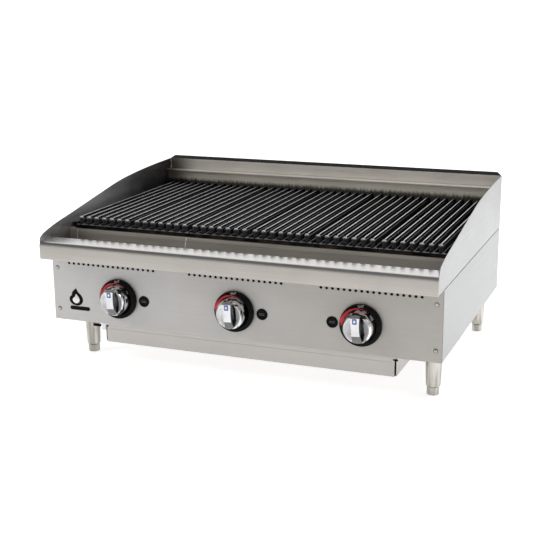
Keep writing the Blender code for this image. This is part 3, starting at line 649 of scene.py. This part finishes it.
def plate(outlines, thickness, round_mm):
    """Flat sheet as a mesh: the first outline less the others, edges rounded by round_mm.

    Outlines are (u, v) points in millimetres; the sheet lies in XY and is centred on Z = 0.
    """
    curve = bpy.data.curves.new("scratch", "CURVE")
    curve.dimensions = "2D"
    curve.fill_mode = "BOTH"
    curve.extrude = (thickness / 2.0 - round_mm) * MM
    curve.bevel_depth = round_mm * MM
    curve.bevel_resolution = 1
    curve.offset = -round_mm * MM
    for outline in outlines:
        spline = curve.splines.new("POLY")
        spline.points.add(len(outline) - 1)
        for point, (u, v) in zip(spline.points, outline):
            point.co = (u * MM, v * MM, 0.0, 1.0)
        spline.use_cyclic_u = True
    mesh = applied(scratch(curve))
    bm = bmesh.new()
    bm.from_mesh(mesh)
    bmesh.ops.remove_doubles(bm, verts=bm.verts, dist=2e-6)
    bmesh.ops.recalc_face_normals(bm, faces=bm.faces)
    bm.to_mesh(mesh)
    bm.free()
    return mesh


def dressed(node, look, round_mm=0.3, name=None, pick=None):
    """A CAD sheet or casting redrawn with rounded edges; pick chooses a face's finish by number."""
    bm = bmesh.new()
    bm.from_mesh(NODES[node].data)
    bmesh.ops.remove_doubles(bm, verts=bm.verts, dist=1e-6)
    bmesh.ops.dissolve_limit(bm, angle_limit=radians(0.4), verts=bm.verts[:], edges=bm.edges[:])
    mesh = bevelled(bm, round_mm)
    if pick:
        for face in mesh.polygons:
            face.material_index = pick(face)
    piece = finish_piece(name or node + "_piece", mesh, look, (node,), BODY_OF[node])
    return weighted(piece)


# ---- camera, light, floor
def build_camera():
    """Camera to the front right of the grill and above it, long lens."""
    yaw, pitch, roll = (radians(a) for a in CAMERA_YAW_PITCH_ROLL)
    ahead = Vector((-sin(yaw) * cos(pitch), cos(yaw) * cos(pitch), -sin(pitch)))
    level = Vector((cos(yaw), sin(yaw), 0.0))
    upright = level.cross(ahead)
    right = cos(roll) * level + sin(roll) * upright
    up = -sin(roll) * level + cos(roll) * upright
    data = bpy.data.cameras.new("camera")
    data.lens = CAMERA_LENS
    data.sensor_width = 36.0
    data.clip_end = 200.0
    camera = bpy.data.objects.new("camera", data)
    turn = Matrix((right, up, -ahead)).transposed().to_4x4()
    camera.matrix_world = Matrix.Translation(CAMERA_AT) @ turn
    bpy.context.scene.collection.objects.link(camera)
    bpy.context.scene.camera = camera


def area_light(name, place, aim, size, watts, mirrored):
    """Soft rectangular light; only a mirrored one shows up in polished metal."""
    data = bpy.data.lights.new(name, "AREA")
    data.shape = "RECTANGLE"
    data.size, data.size_y = size
    data.energy = watts
    light = bpy.data.objects.new(name, data)
    light.location = place
    light.rotation_mode = "QUATERNION"
    light.rotation_quaternion = (Vector(aim) - Vector(place)).to_track_quat("-Z", "Y")
    light.visible_glossy = mirrored
    bpy.context.scene.collection.objects.link(light)


def build_studio():
    sky = Sky("studio")
    # a dark room in front and overhead, bright walls behind, for the steel to reflect
    ahead, above = sky.axis("Y"), sky.axis("Z")
    room = sky.times(sky.spread(ahead, 0.14, 0.44, 1.0, 0.0), sky.spread(above, 0.0, 0.10))
    front = sky.mix(sky.spread(above, 0.15, 0.62), grey(0.62), grey(0.13))
    background = sky.tree.nodes["Background"]
    sky.link(sky.mix(room, grey(1.30), front), background.inputs["Color"])
    background.inputs["Strength"].default_value = 1.0
    bpy.context.scene.world = sky.world

    area_light("overhead", (0.7, 1.3, 2.1), (0.0, 0.2, 0.2), (2.4, 1.6), 52.0, False)
    area_light("left_front", (-2.2, -1.6, 1.8), (-0.4, -0.4, 0.2), (1.2, 1.2), 30.0, False)
    area_light("window", (1.5, -1.4, 2.0), (0.0, -0.2, 0.2), (0.9, 0.9), 7.0, True)

    mesh = bpy.data.meshes.new("floor")
    bm = bmesh.new()
    for x, y in ((-60.0, -60.0), (60.0, -60.0), (60.0, 60.0), (-60.0, 60.0)):
        bm.verts.new((x, y, 0.0))
    bm.faces.new(bm.verts)
    bm.to_mesh(mesh)
    bm.free()
    floor = scratch(mesh)
    floor.name = "floor"
    n = Nodes("floor_pale")
    cloud = n.noise(1.5, 2.0)
    n.colour(n.mix(n.spread(cloud, 0.3, 0.7), grey(0.60), grey(0.63)))
    n.set(Roughness=0.85, Emission_Color=(1.0, 1.0, 1.0, 1.0))
    n.link(n.spread(n.axis("Y"), -1.38, -1.02, 0.18, 0.72), n.shader.inputs["Emission Strength"])
    mesh.materials.append(n.mat)
    bpy.context.scene.view_settings.view_transform = "Standard"


# ---- cabinet
def stand_up(mesh, y):
    """Turn a plate drawn in (x, z) upright, with its mid-plane at y."""
    mesh.transform(Matrix.Translation(spot(0.0, y, 0.0)) @ Matrix.Rotation(radians(90.0), 4, "X"))
    return mesh


def stand_side(mesh, x):
    """Turn a plate drawn in (y, z) upright, with its mid-plane at x."""
    turn = Matrix(((0.0, 0.0, 1.0, 0.0), (1.0, 0.0, 0.0, 0.0), (0.0, 1.0, 0.0, 0.0), (0.0, 0.0, 0.0, 1.0)))
    mesh.transform(Matrix.Translation(spot(x, 0.0, 0.0)) @ turn)
    return mesh


def build_front_panel():
    low, high = PANEL_Z
    outer = [
        (-PANEL_HALF, low), (PANEL_HALF, low), (PANEL_HALF, SEAM_Z - 0.3),
        (HALF_W - 1.8, SEAM_Z - 0.3), (HALF_W - 1.8, high), (1.8 - HALF_W, high),
        (1.8 - HALF_W, SEAM_Z - 0.3), (-PANEL_HALF, SEAM_Z - 0.3),
    ]
    holes = []
    for group in VENT_GROUPS:
        for k in range(VENT_COUNT):
            x = group + (k - (VENT_COUNT - 1) / 2.0) * VENT_PITCH
            holes.append([(x + VENT_STRETCH * (a - x), b) for a, b in circle(x, VENT_Z, VENT_R, 16)])
    for x, dx in zip(KNOB_X, PLUG_DX):
        holes.append(circle(x, KNOB_Z, SHAFT_HOLE_R, 24))
        holes.append(circle(x + dx, PLUG_Z, PLUG_HOLE_R, 24))
    mesh = stand_up(plate([outer] + holes, SHEET, 0.25), PANEL_Y + SHEET / 2.0)
    bm = bmesh.new()
    bm.from_mesh(mesh)
    lip = sheet_outline([(PANEL_Y + SHEET / 2.0, low), (PANEL_Y + 20.0, low)], SHEET)
    prism(bm, "X", lip, 2.0 - HALF_W, HALF_W - 2.0)
    weighted(finish_piece("front_panel_sheet", bm, "front", ("front_panel",)))

    # dark strips behind the vent rows and the side seams, so they show dark: painted shade
    bm = bmesh.new()
    for group in VENT_GROUPS:
        half = VENT_COUNT * VENT_PITCH / 2.0
        box(bm, group - half, group + half, PANEL_Y + 2.0, PANEL_Y + 2.8, VENT_Z - 7.0, VENT_Z + 7.0)
    for side in (-1.0, 1.0):
        x0, x1 = sorted((side * 454.9, side * 455.6))
        box(bm, x0, x1, PANEL_Y + 6.0, REAR_Y - 2.0, SEAM_Z - 3.5, SEAM_Z + 3.5)
    finish_piece("painted_shade_backing", bevelled(bm, 0.2), "gap")

    bm = bmesh.new()
    for x, z in SCREWS:
        screw_head(bm, (x, PANEL_Y, z), 4.0)
    finish_piece("panel_screws", bm, "screw")
    # dark rings round the screw heads: painted shadow
    bm = bmesh.new()
    rim = [(3.7, -0.3), (3.9, 0.1), (4.5, 0.16), (5.0, 0.02), (5.0, -0.3)]
    for x, z in SCREWS:
        lathe(bm, rim, (x, PANEL_Y, z), "-Y", 28)
    finish_piece("panel_screw_shadow_rims", bm, "fold")


def build_badge():
    """Plain enamel badge left of the first dial: a flame over a bar, no lettering."""
    flame = closed_curve([
        (-398.0, 184.0), (-393.0, 175.0), (-384.5, 167.0), (-381.0, 157.0), (-385.0, 147.5),
        (-395.0, 143.0), (-407.0, 144.5), (-415.0, 151.5), (-416.0, 161.0), (-410.0, 167.5),
        (-408.0, 175.0),
    ], 5)
    core = closed_curve([
        (-398.5, 171.0), (-391.5, 163.0), (-389.5, 156.0), (-393.5, 150.0), (-401.0, 148.5),
        (-407.0, 153.0), (-407.0, 159.5), (-401.5, 164.0),
    ], 5)
    for name, outline, thickness, look in (
        ("badge_flame", flame, 0.7, "plug"), ("badge_core", core, 1.1, "tab"),
        ("badge_bar", capsule(-389.5, 137.0, 21.5, 4.6, 8), 0.7, "plug"),
    ):
        mesh = stand_up(plate([outline], thickness, 0.12), PANEL_Y - thickness / 2.0 + 0.1)
        finish_piece(name, mesh, look)


def screw_head(bm, centre, radius):
    """Pan head with a low raised cross, standing out of the front panel."""
    x, y, z = centre
    steps = ((1.0, -0.6), (1.0, 0.4), (0.93, 1.1), (0.72, 1.7), (0.42, 2.05))
    dome = [(radius * part, height) for part, height in steps]
    lathe(bm, dome, centre, "-Y", 24)
    arm, half = radius * 0.55, radius * 0.14
    for a, b in ((arm, half), (half, arm)):
        box(bm, x - a, x + a, y - 2.15, y - 1.9, z - b, z + b)


def build_rail():
    bend = arc(RAIL_BEND, RAIL_BEND_R, 180.0, 100.0, 18)
    path = [(47.8, SEAM_Z)] + arc((1.4, SEAM_Z + 1.4), 1.4, 270.0, 180.0, 4) + bend
    path += [(50.5, 301.0), (51.4, 300.7), (52.0, 299.8), (52.0, 258.0)]
    outline = sheet_outline(path[::-1], SHEET)
    bm = bmesh.new()
    prism(bm, "X", outline, -INNER_HALF, INNER_HALF)
    sheet = bevelled(bm, 0.25)
    weighted(finish_piece("front_rail_sheet", sheet, "rail", ("front_rail",)))
    # the front face runs on over the ends of the splash guards
    bm = bmesh.new()
    for side in (-1.0, 1.0):
        x0, x1 = sorted((side * (INNER_HALF - 0.1), side * HALF_W))
        profile = [(0.0, SEAM_Z + 1.4), (0.0, RAIL_BEND[1])]
        profile += arc(RAIL_BEND, RAIL_BEND_R, 180.0, 150.0, 6)
        inner = [(1.45, 296.0), (1.45, SEAM_Z + 0.6), (1.0, SEAM_Z + 0.1), (0.4, SEAM_Z + 0.4)]
        prism(bm, "X", profile + inner, x0, x1)
    weighted(finish_piece("front_rail_ends", bevelled(bm, 0.15), "rail"))


def build_sides():
    edge = smooth_line(list(SPLASH_EDGE), 5)
    outline = [(1.8, SEAM_Z + 1.8), (REAR_Y - 0.3, SEAM_Z + 1.8)] + edge[::-1]
    for side, tag in ((-1.0, "left"), (1.0, "right")):
        mesh = stand_side(plate([outline], SPLASH_SHEET, 0.3), side * (HALF_W - SPLASH_SHEET / 2.0))
        weighted(finish_piece(
            tag + "_splash_sheet", mesh, "splash_side", (tag + "_splash",)
        ))
        dressed(tag + "_side_panel", "side", name=tag + "_side_sheet")
        # a dark strip along the side panel's front edge: a joint line, and painted shade at the corner
        bm = bmesh.new()
        x0, x1 = sorted((side * 456.75, side * 457.15))
        box(bm, x0, x1, PANEL_Y + 0.35, PANEL_Y + 5.0, PANEL_Z[0] + 0.6, SEAM_Z - 1.0)
        finish_piece(tag + "_corner_shade_line", bevelled(bm, 0.15), "fold")


def splash_zone(face):
    """Finish of a face of the rear splash: 0 front, 1 top flange in a painted dark reflection, 2 back."""
    if face.center.z > FLANGE_Z * MM and face.normal.z > 0.3:
        return 1
    return 2 if face.normal.y > 0.5 else 0


def build_rear():
    looks = ("rear", "flange", "back")
    dressed("rear_splash", looks, name="rear_splash_sheet", pick=splash_zone)
    low, high, half = PANEL_Z[0], REAR_TOP, INNER_HALF
    holes = [circle(*GAS_INLET, GAS_INLET_R, 28)]
    for k in range(REAR_SLOTS):
        x = (k - (REAR_SLOTS - 1) / 2.0) * REAR_SLOT_PITCH
        holes.append(capsule(x, REAR_SLOT_Z, REAR_SLOT_HALF, REAR_SLOT_R, 6))
    outer = [(-half, low), (half, low), (half, high), (-half, high)]
    mesh = stand_up(plate([outer] + holes, SHEET, 0.25), REAR_Y + SHEET / 2.0)
    weighted(finish_piece("rear_panel_sheet", mesh, "back", ("rear_panel",)))


def build_trough_seams():
    """Bright upright joints in the trough's rear wall and the sheet above it, leaning a little."""
    spans = ((125.0, 258.0, 295.6), (127.4, 296.6, 305.6))
    middle = 280.0
    bm = bmesh.new()
    for x, half, lean in ((-434.6, 0.7, 0.02), (-153.4, 1.2, 0.09)):
        for y, z0, z1 in spans:
            a, b = x + lean * (z0 - middle), x + lean * (z1 - middle)
            ends = [(a - half, z0), (a + half, z0), (b + half, z1), (b - half, z1)]
            prism(bm, "Y", ends, y - 0.5, y + 0.5)
    finish_piece("trough_seams", bevelled(bm, 0.15), "bead")


def build_firebox():
    for node, look in (
        ("liner_front", "inner"), ("liner_rear", "rear_wall"), ("liner_left", "soot"),
        ("liner_right", "soot"), ("grease_trough", "trough"), ("radiant_rail_front", "inner"),
        ("radiant_rail_rear", "inner"), ("burner_rail", "inner"),
    ):
        dressed(node, look)


# ---- grates
def bar_section(rise):
    """Half outline (x, z) of a bar from the bottom up; rise 0..1 scales what stands above the web."""
    height = (GRATE_TOP - GRATE_WEB) * rise
    blade = (
        (6.0, 0.0), (4.35, 0.04), (3.9, 0.34), (3.6, 0.64), (3.4, 0.69), (2.35, 0.715), (2.0, 0.78),
        (1.85, 0.90), (1.25, 0.98), (0.0, 1.0),
    )
    narrow = 0.62 + 0.38 * rise
    return BAR_FOOT + [(x * narrow, GRATE_WEB + height * z) for x, z in blade]


def nose_section(offset):
    """Half outline of the round nose, a ball on a post, at an offset along the bar from its middle."""
    ball = sqrt(max(NOSE_R ** 2 - offset ** 2, 0.4))
    post = sqrt(max((0.66 * NOSE_R) ** 2 - offset ** 2, 0.2))
    middle = GRATE_TOP - NOSE_R
    stem = [(post, GRATE_WEB + 0.6), (post, GRATE_WEB + 4.5), (post, middle - 0.55 * NOSE_R)]
    cap = [(ball * cos(radians(a)), middle + ball * sin(radians(a)))
           for a in (-18.0, 8.0, 30.0, 48.0, 64.0, 78.0)]
    return BAR_FOOT + stem + cap + [(0.0, middle + ball)]


def bar(bm, x, y0, y1):
    """One narrow bar with a round nose in front and its rear end rolled down to the rim."""
    middle = y0 + NOSE_SETBACK + NOSE_R
    outlines = []
    steps = 12
    for k in range(steps + 1):
        offset = -NOSE_R * cos(pi * k / steps)
        blend = smooth_step((offset - 0.55 * NOSE_R) / (0.45 * NOSE_R))
        outlines.append((middle + offset, blend, offset))
    outlines += [(middle + NOSE_R + step, 1.0, NOSE_R + step) for step in (0.9, 2.2, 4.0, 6.5)]
    start, stop = middle + NOSE_R + 6.5, y1 - BAR_END - BAR_ROLL
    outlines += [(start + (stop - start) * k / 9, 1.0, 99.0) for k in range(1, 10)]
    rings = []
    for y, blend, offset in outlines:
        saddle = 1.0 - 0.17 * exp(-((offset - NOSE_R - 0.3) / 2.6) ** 2)
        pairs = zip(nose_section(min(offset, NOSE_R)), bar_section(saddle))
        rings.append((y, [(a + (c - a) * blend, b + (d - b) * blend) for (a, b), (c, d) in pairs]))
    for k in range(1, 10):
        t = 1.0 - k / 9
        rise = max(sin(t * pi / 2.0) ** 0.55 if t > 0.0 else 0.0, 0.02)
        rings.append((y1 - BAR_END - BAR_ROLL * (1.0 - cos(t * pi / 2.0)), bar_section(rise)))
    loops = []
    for y, half in rings:
        outline = half + [(-a, b) for a, b in half[-2::-1]]
        loops.append([bm.verts.new(spot(x + a, y, b)) for a, b in outline])
    count = len(loops[0])
    for low, high in zip(loops, loops[1:]):
        for i in range(count):
            j = (i + 1) % count
            bm.faces.new((low[i], low[j], high[j], high[i]))
    bm.faces.new(loops[0][::-1])
    bm.faces.new(loops[-1])


def build_grates():
    for i in range(6):
        centre = (i - 2.5) * GRATE_PITCH
        bm = bmesh.new()
        for y0, y1 in CROSS_BARS:
            box(bm, centre - GRATE_W / 2.0, centre + GRATE_W / 2.0, y0, y1, GRATE_LOW, GRATE_WEB)
        base = scratch(bevelled(bm, 1.3, 3))
        bars = bpy.data.collections.new("scratch_bars")
        bpy.context.scene.collection.children.link(bars)
        for k in range(BARS):
            bm = bmesh.new()
            bar(bm, centre + (k - 3) * BAR_PITCH, *GRATE_Y)
            piece = bpy.data.objects.new("scratch_bar", as_mesh(bm))
            bars.objects.link(piece)
        union = base.modifiers.new("union", "BOOLEAN")
        union.operation = "UNION"
        union.solver = "EXACT"
        union.operand_type = "COLLECTION"
        union.collection = bars
        mesh = applied(base)
        for piece in list(bars.objects):
            bpy.data.objects.remove(piece)
        bpy.data.collections.remove(bars)
        name = "grate_%d" % (i + 1)
        finish_piece(name + "_casting", mesh, "iron", (name,), BODY_OF[name], 40.0)


# ---- dials and knobs
def ring_height(radius):
    """Height of the bezel's face above the panel at a radius."""
    steps = ((36.2, 12.0), (40.0, 12.0), (44.2, 10.6), (45.2, 8.6))
    for (r0, h0), (r1, h1) in zip(steps, steps[1:]):
        if radius <= r1:
            return h0 + (h1 - h0) * max(radius - r0, 0.0) / (r1 - r0)
    return 8.6


def build_bezels():
    profile = [
        (8.6, 0.2), (45.0, 0.2), (45.4, 0.6), (45.5, 1.2), (45.45, 6.0), (45.2, 8.6), (44.8, 9.9),
        (44.2, 10.6), (40.0, 12.0), (36.5, 12.0), (36.1, 11.8), (35.9, 11.4), (35.9, 7.0), (36.2, 3.4),
        (36.0, 2.9), (8.6, 2.8),
    ]
    for i, x in enumerate(KNOB_X):
        bm = bmesh.new()
        lathe(bm, profile, (x, PANEL_Y, KNOB_Z), "-Y", 112, True)
        name = "dial_bezel_%d" % (i + 1)
        finish_piece(name + "_ring", bm, "dial", (name,), degrees=50.0)

        bm = bmesh.new()
        heat_scale(bm, x)
        finish_piece("heat_scale_%d" % (i + 1), bm, "red")
        off_mark(i, x)


def heat_scale(bm, x):
    """Printed red band on the ring: widest at nine o'clock, running out past the top."""
    steps = 60
    start, end = 184.0, 56.0
    inner, lift = 36.3, 0.12
    top, bottom = [], []
    for k in range(steps + 1):
        t = k / steps
        angle = radians(start + (end - start) * t)
        width = 8.6 * (1.0 - t) ** 1.25 + 0.2
        row = []
        for r in (inner, inner + width * 0.5, inner + width):
            row.append(Vector((r * cos(angle), -(ring_height(r) + lift), r * sin(angle))) * MM)
        top.append(row)
        bottom.append([p + Vector((0.0, 0.25 * MM, 0.0)) for p in row])
    base = spot(x, PANEL_Y, KNOB_Z)
    upper = [[bm.verts.new(base + p) for p in row] for row in top]
    lower = [[bm.verts.new(base + p) for p in row] for row in bottom]
    for k in range(steps):
        for j in range(2):
            bm.faces.new((upper[k][j], upper[k + 1][j], upper[k + 1][j + 1], upper[k][j + 1]))
            bm.faces.new((lower[k][j], lower[k][j + 1], lower[k + 1][j + 1], lower[k + 1][j]))
        for j, flip in ((0, False), (2, True)):
            quad = (upper[k][j], lower[k][j], lower[k + 1][j], upper[k + 1][j])
            bm.faces.new(quad[::-1] if flip else quad)
    for k, flip in ((0, True), (steps, False)):
        face = (upper[k][0], upper[k][1], upper[k][2], lower[k][2], lower[k][1], lower[k][0])
        bm.faces.new(face[::-1] if flip else face)


def off_mark(i, x):
    """The word for the closed position, printed small at the top of the ring."""
    curve = bpy.data.curves.new("scratch", "FONT")
    curve.body = "OFF"
    curve.size = 6.9 * MM
    curve.offset = 0.12 * MM
    curve.align_x = "CENTER"
    curve.align_y = "CENTER"
    curve.extrude = 0.08 * MM
    curve.resolution_u = 3
    mesh = applied(scratch(curve))
    bm = bmesh.new()
    bm.from_mesh(mesh)
    base = spot(x, PANEL_Y, KNOB_Z)
    for v in bm.verts:
        across, up = v.co.x / MM + 1.6, v.co.y / MM + 42.5
        lift = 0.15 if v.co.z > 0.0 else -0.15
        v.co = base + Vector((across, -ring_height(hypot(across, up)) - lift, up)) * MM
    finish_piece("off_mark_%d" % (i + 1), bm, "white")


KNOB_R = 35.2
KNOB_FLANK = (
    (0.0, 36.6), (27.2, 36.6), (28.0, 36.3), (28.7, 35.7), (31.6, 31.6), (32.2, 30.2), (32.7, 28.2),
    (33.6, 21.0), (34.4, 14.0), (34.8, 10.0), (35.05, 7.5), (35.2, 4.7),
)
GRIP_TOP = 43.2
GRIP_END_Z = -13.0
GRIP_END_SLOPE = 0.58
GRIP_TILT = 4.0
GRIP_WALL = 2.4
SCOOP_DEPTH = 12.5
SCOOP_R = 27.6
GRIP_REACH = 30.2


def flank_height(radius):
    for (r0, h0), (r1, h1) in zip(KNOB_FLANK, KNOB_FLANK[1:]):
        if radius <= r1:
            return h0 + (h1 - h0) * (radius - r0) / (r1 - r0)
    return KNOB_FLANK[-1][1]


def grip_half_width(z):
    return 8.4 + 2.2 * (z / 27.0) ** 2


def knob_height(x, z):
    """Height of the knob's face: a tapered drum, a scoop each side, and the grip bar standing proud."""
    radius = hypot(x, z)
    away = smooth_step((abs(x) - grip_half_width(z)) / GRIP_WALL)
    height = flank_height(radius) - SCOOP_DEPTH * away * max(1.0 - (radius / SCOOP_R) ** 2.6, 0.0)
    grip = GRIP_TOP - GRIP_END_SLOPE * max(GRIP_END_Z - z, 0.0) - 0.9 * max(z - 25.3, 0.0) ** 1.5
    if radius < GRIP_REACH:
        height += max(grip - height, 0.0) * (1.0 - away) * smooth_step((GRIP_REACH - radius) / 2.0)
    return height


def knob_zone(x, z):
    """Finish of a spot on the face.

    0 polished, 1 grip's end in a painted dark reflection, 2 dark wall right of the grip, a painted dark
    reflection, 3 flank in painted reflection bands, 4 scoop in a painted bright reflection, 5 top of the
    flank in a painted dark reflection
    """
    radius = hypot(x, z)
    beyond = abs(x) - grip_half_width(z)
    if radius > 28.0 and (beyond > 0.0 or radius > 29.9):
        return 5 if radius > 32.0 and z > 0.45 * radius else 3
    if 0.0 < beyond < 5.5 and abs(z) < 26.5 and x > 0.0:
        return 2
    if beyond > 0.0:
        return 4
    return 1 if z < GRIP_END_Z else 0


def knob_columns(z):
    """Positions across the knob at a height: fine over the grip's walls, even further out."""
    reach = sqrt(max(KNOB_R ** 2 - z * z, 0.0))
    waist = min(grip_half_width(z), 0.45 * reach)
    wall = min(GRIP_WALL, 0.2 * reach)
    across = [waist * (1.0 - (1.0 - k / 4.0) ** 1.6) for k in range(5)]
    across += [waist + wall * k / 5.0 for k in range(1, 6)]
    across += [waist + wall + (reach - waist - wall) * (k / 26.0) ** 0.85 for k in range(1, 27)]
    return [-a for a in across[:0:-1]] + across


def build_knobs():
    rows = 132
    tilt = Matrix.Rotation(radians(-GRIP_TILT), 3, "Y")
    for i, x in enumerate(KNOB_X):
        bm = bmesh.new()
        base = spot(x, PANEL_Y, KNOB_Z)
        grid = []
        for j in range(rows + 1):
            z = -KNOB_R * cos(pi * j / rows)
            row = [Vector((a, -knob_height(a, z), z)) * MM for a in knob_columns(z)]
            grid.append([bm.verts.new(base + tilt @ point) for point in row])
        for low, high in zip(grid, grid[1:]):
            for a in range(len(low) - 1):
                bm.faces.new((low[a], low[a + 1], high[a + 1], high[a]))
        bmesh.ops.remove_doubles(bm, verts=bm.verts, dist=2e-6)
        for face in bm.faces:
            local = tilt.transposed() @ (face.calc_center_median() - base) / MM
            face.material_index = knob_zone(local.x, local.z)
        rim = [e for e in bm.edges if e.is_boundary]
        for height, scale in ((4.0, 1.0), (3.7, 34.4 / KNOB_R)):
            made = bmesh.ops.extrude_edge_only(bm, edges=rim)
            rim = [g for g in made["geom"] if isinstance(g, bmesh.types.BMEdge)]
            for v in (g for g in made["geom"] if isinstance(g, bmesh.types.BMVert)):
                local = v.co - base
                v.co = base + Vector((local.x * scale, -height * MM, local.z * scale))
        bmesh.ops.holes_fill(bm, edges=rim, sides=0)
        name = "knob_%d" % (i + 1)
        looks = ("chrome", "end", "wall", "flank", "scoop", "flank_top")
        finish_piece(name + "_chrome", bm, looks, (name,), BODY_OF[name], 60.0)
        knob_mark(i, x)


def rounded_square(half, radius, steps=5):
    points = []
    for cx, cz, start in ((1, 1, 0.0), (-1, 1, 90.0), (-1, -1, 180.0), (1, -1, 270.0)):
        points += arc((cx * (half - radius), cz * (half - radius)), radius, start, start + 90.0, steps)
    return points


def knob_mark(i, x):
    """Plain pointer mark near the top of the grip: a blue rounded square with a pale centre."""
    for tag, half, radius, lift, look in (
        ("mark", 5.0, 1.6, 0.25, "blue"), ("pip", 2.1, 0.9, 0.34, "scoop"),
    ):
        mesh = plate([rounded_square(half, radius)], 0.3, 0.05)
        mesh.transform(
            Matrix.Translation(spot(x, PANEL_Y - GRIP_TOP - lift + 0.1, KNOB_Z))
            @ Matrix.Rotation(radians(-GRIP_TILT), 4, "Y")
            @ Matrix.Translation((-0.4 * MM, 0.0, 18.6 * MM))
            @ Matrix.Rotation(radians(90.0), 4, "X")
            @ Matrix.Diagonal((1.0, 1.18, 1.0, 1.0))
        )
        finish_piece("knob_%s_%d" % (tag, i + 1), mesh, look, body="knob_%d" % (i + 1))


def build_plugs():
    for i, (x, dx) in enumerate(zip(KNOB_X, PLUG_DX)):
        bm = bmesh.new()
        profile = [
            (10.2, -5.8), (10.2, 0.2), (12.4, 0.2), (12.7, 0.5), (12.7, 1.1), (12.3, 1.7), (11.4, 2.1),
            (9.2, 2.3), (8.9, 1.9), (8.4, 1.7), (0.0, 1.8),
        ]
        lathe(bm, profile, (x + dx, PANEL_Y, PLUG_Z), "-Y", 64)
        name = "access_plug_%d" % (i + 1)
        finish_piece(name + "_cap", bm, "plug", (name,))
        # two raised ribs, lighter than the black cap: painted highlight
        bm = bmesh.new()
        for z in (-1.7, 1.3):
            box(bm, x + dx - 6.2, x + dx + 6.2, PANEL_Y - 2.1, PANEL_Y - 1.6, PLUG_Z + z, PLUG_Z + z + 0.9)
        finish_piece("access_plug_ribs_%d" % (i + 1), bevelled(bm, 0.2), "rib")


# ---- base, tray, legs
def build_base():
    for node in ("base_front", "base_rear", "housing_left", "housing_right", "drip_tray"):
        dressed(node, "tray")
    # dark blocks where there are only shadow gaps: painted shade
    bm = bmesh.new()
    for clip in SHADOW_GAP_BLOCKS:
        box(bm, *clip)
    finish_piece("painted_shadow_gaps", bevelled(bm, 0.3), "gap")
    bm = bmesh.new()
    box(bm, *HOUSING_TAB)
    finish_piece("housing_tab", bevelled(bm, 0.3), "tab")


def build_legs():
    leg = [
        (11.0, 20.0), (14.6, 20.0), (15.3, 20.3), (15.8, 21.2), (16.3, 34.0), (16.9, 52.0), (17.4, 70.0),
        (18.0, 85.0), (18.6, 98.6), (19.2, 101.2), (20.4, 102.5), (30.2, 103.0), (31.0, 103.4),
        (31.0, 105.6), (30.4, 106.0),
    ]
    foot = [(11.8, 0.0), (13.0, 0.5), (13.6, 1.7), (13.6, 16.9), (13.2, 18.4), (12.4, 19.7)]
    for x, side in ((-LEG_X, "left"), (LEG_X, "right")):
        for y, end in zip(LEG_Y, ("front", "rear")):
            tag = "%s_%s" % (end, side)
            for part, shape, profile, segments, body in (
                ("leg_" + tag, "_tube", leg, 64, "chassis"),
                ("foot_" + tag, "_bullet", foot, 48, "foot_" + tag),
            ):
                bm = bmesh.new()
                lathe(bm, profile, (x, y, 0.0), "Z", segments)
                finish_piece(part + shape, bm, "nickel", (part,), body)


def refinish(node, look):
    """Give its finish to a CAD solid that is shown as it is."""
    materials = NODES[node].data.materials
    materials.clear()
    materials.append(LOOK[look])


def build_inside():
    for i in range(1, 4):
        dressed("burner_%d" % i, "burner", 0.8)
        dressed("radiant_%d" % i, "iron_inner", 0.8)
        dressed("gas_valve_%d" % i, "brass", 0.6)
        refinish("valve_stem_%d" % i, "brass")
        refinish("pilot_tube_%d" % i, "tube")
    refinish("gas_pipe", "pipe")


build_camera()
build_studio()
build_front_panel()
build_badge()
build_rail()
build_sides()
build_rear()
build_firebox()
build_trough_seams()
build_grates()
build_bezels()
build_knobs()
build_plugs()
build_base()
build_legs()
build_inside()
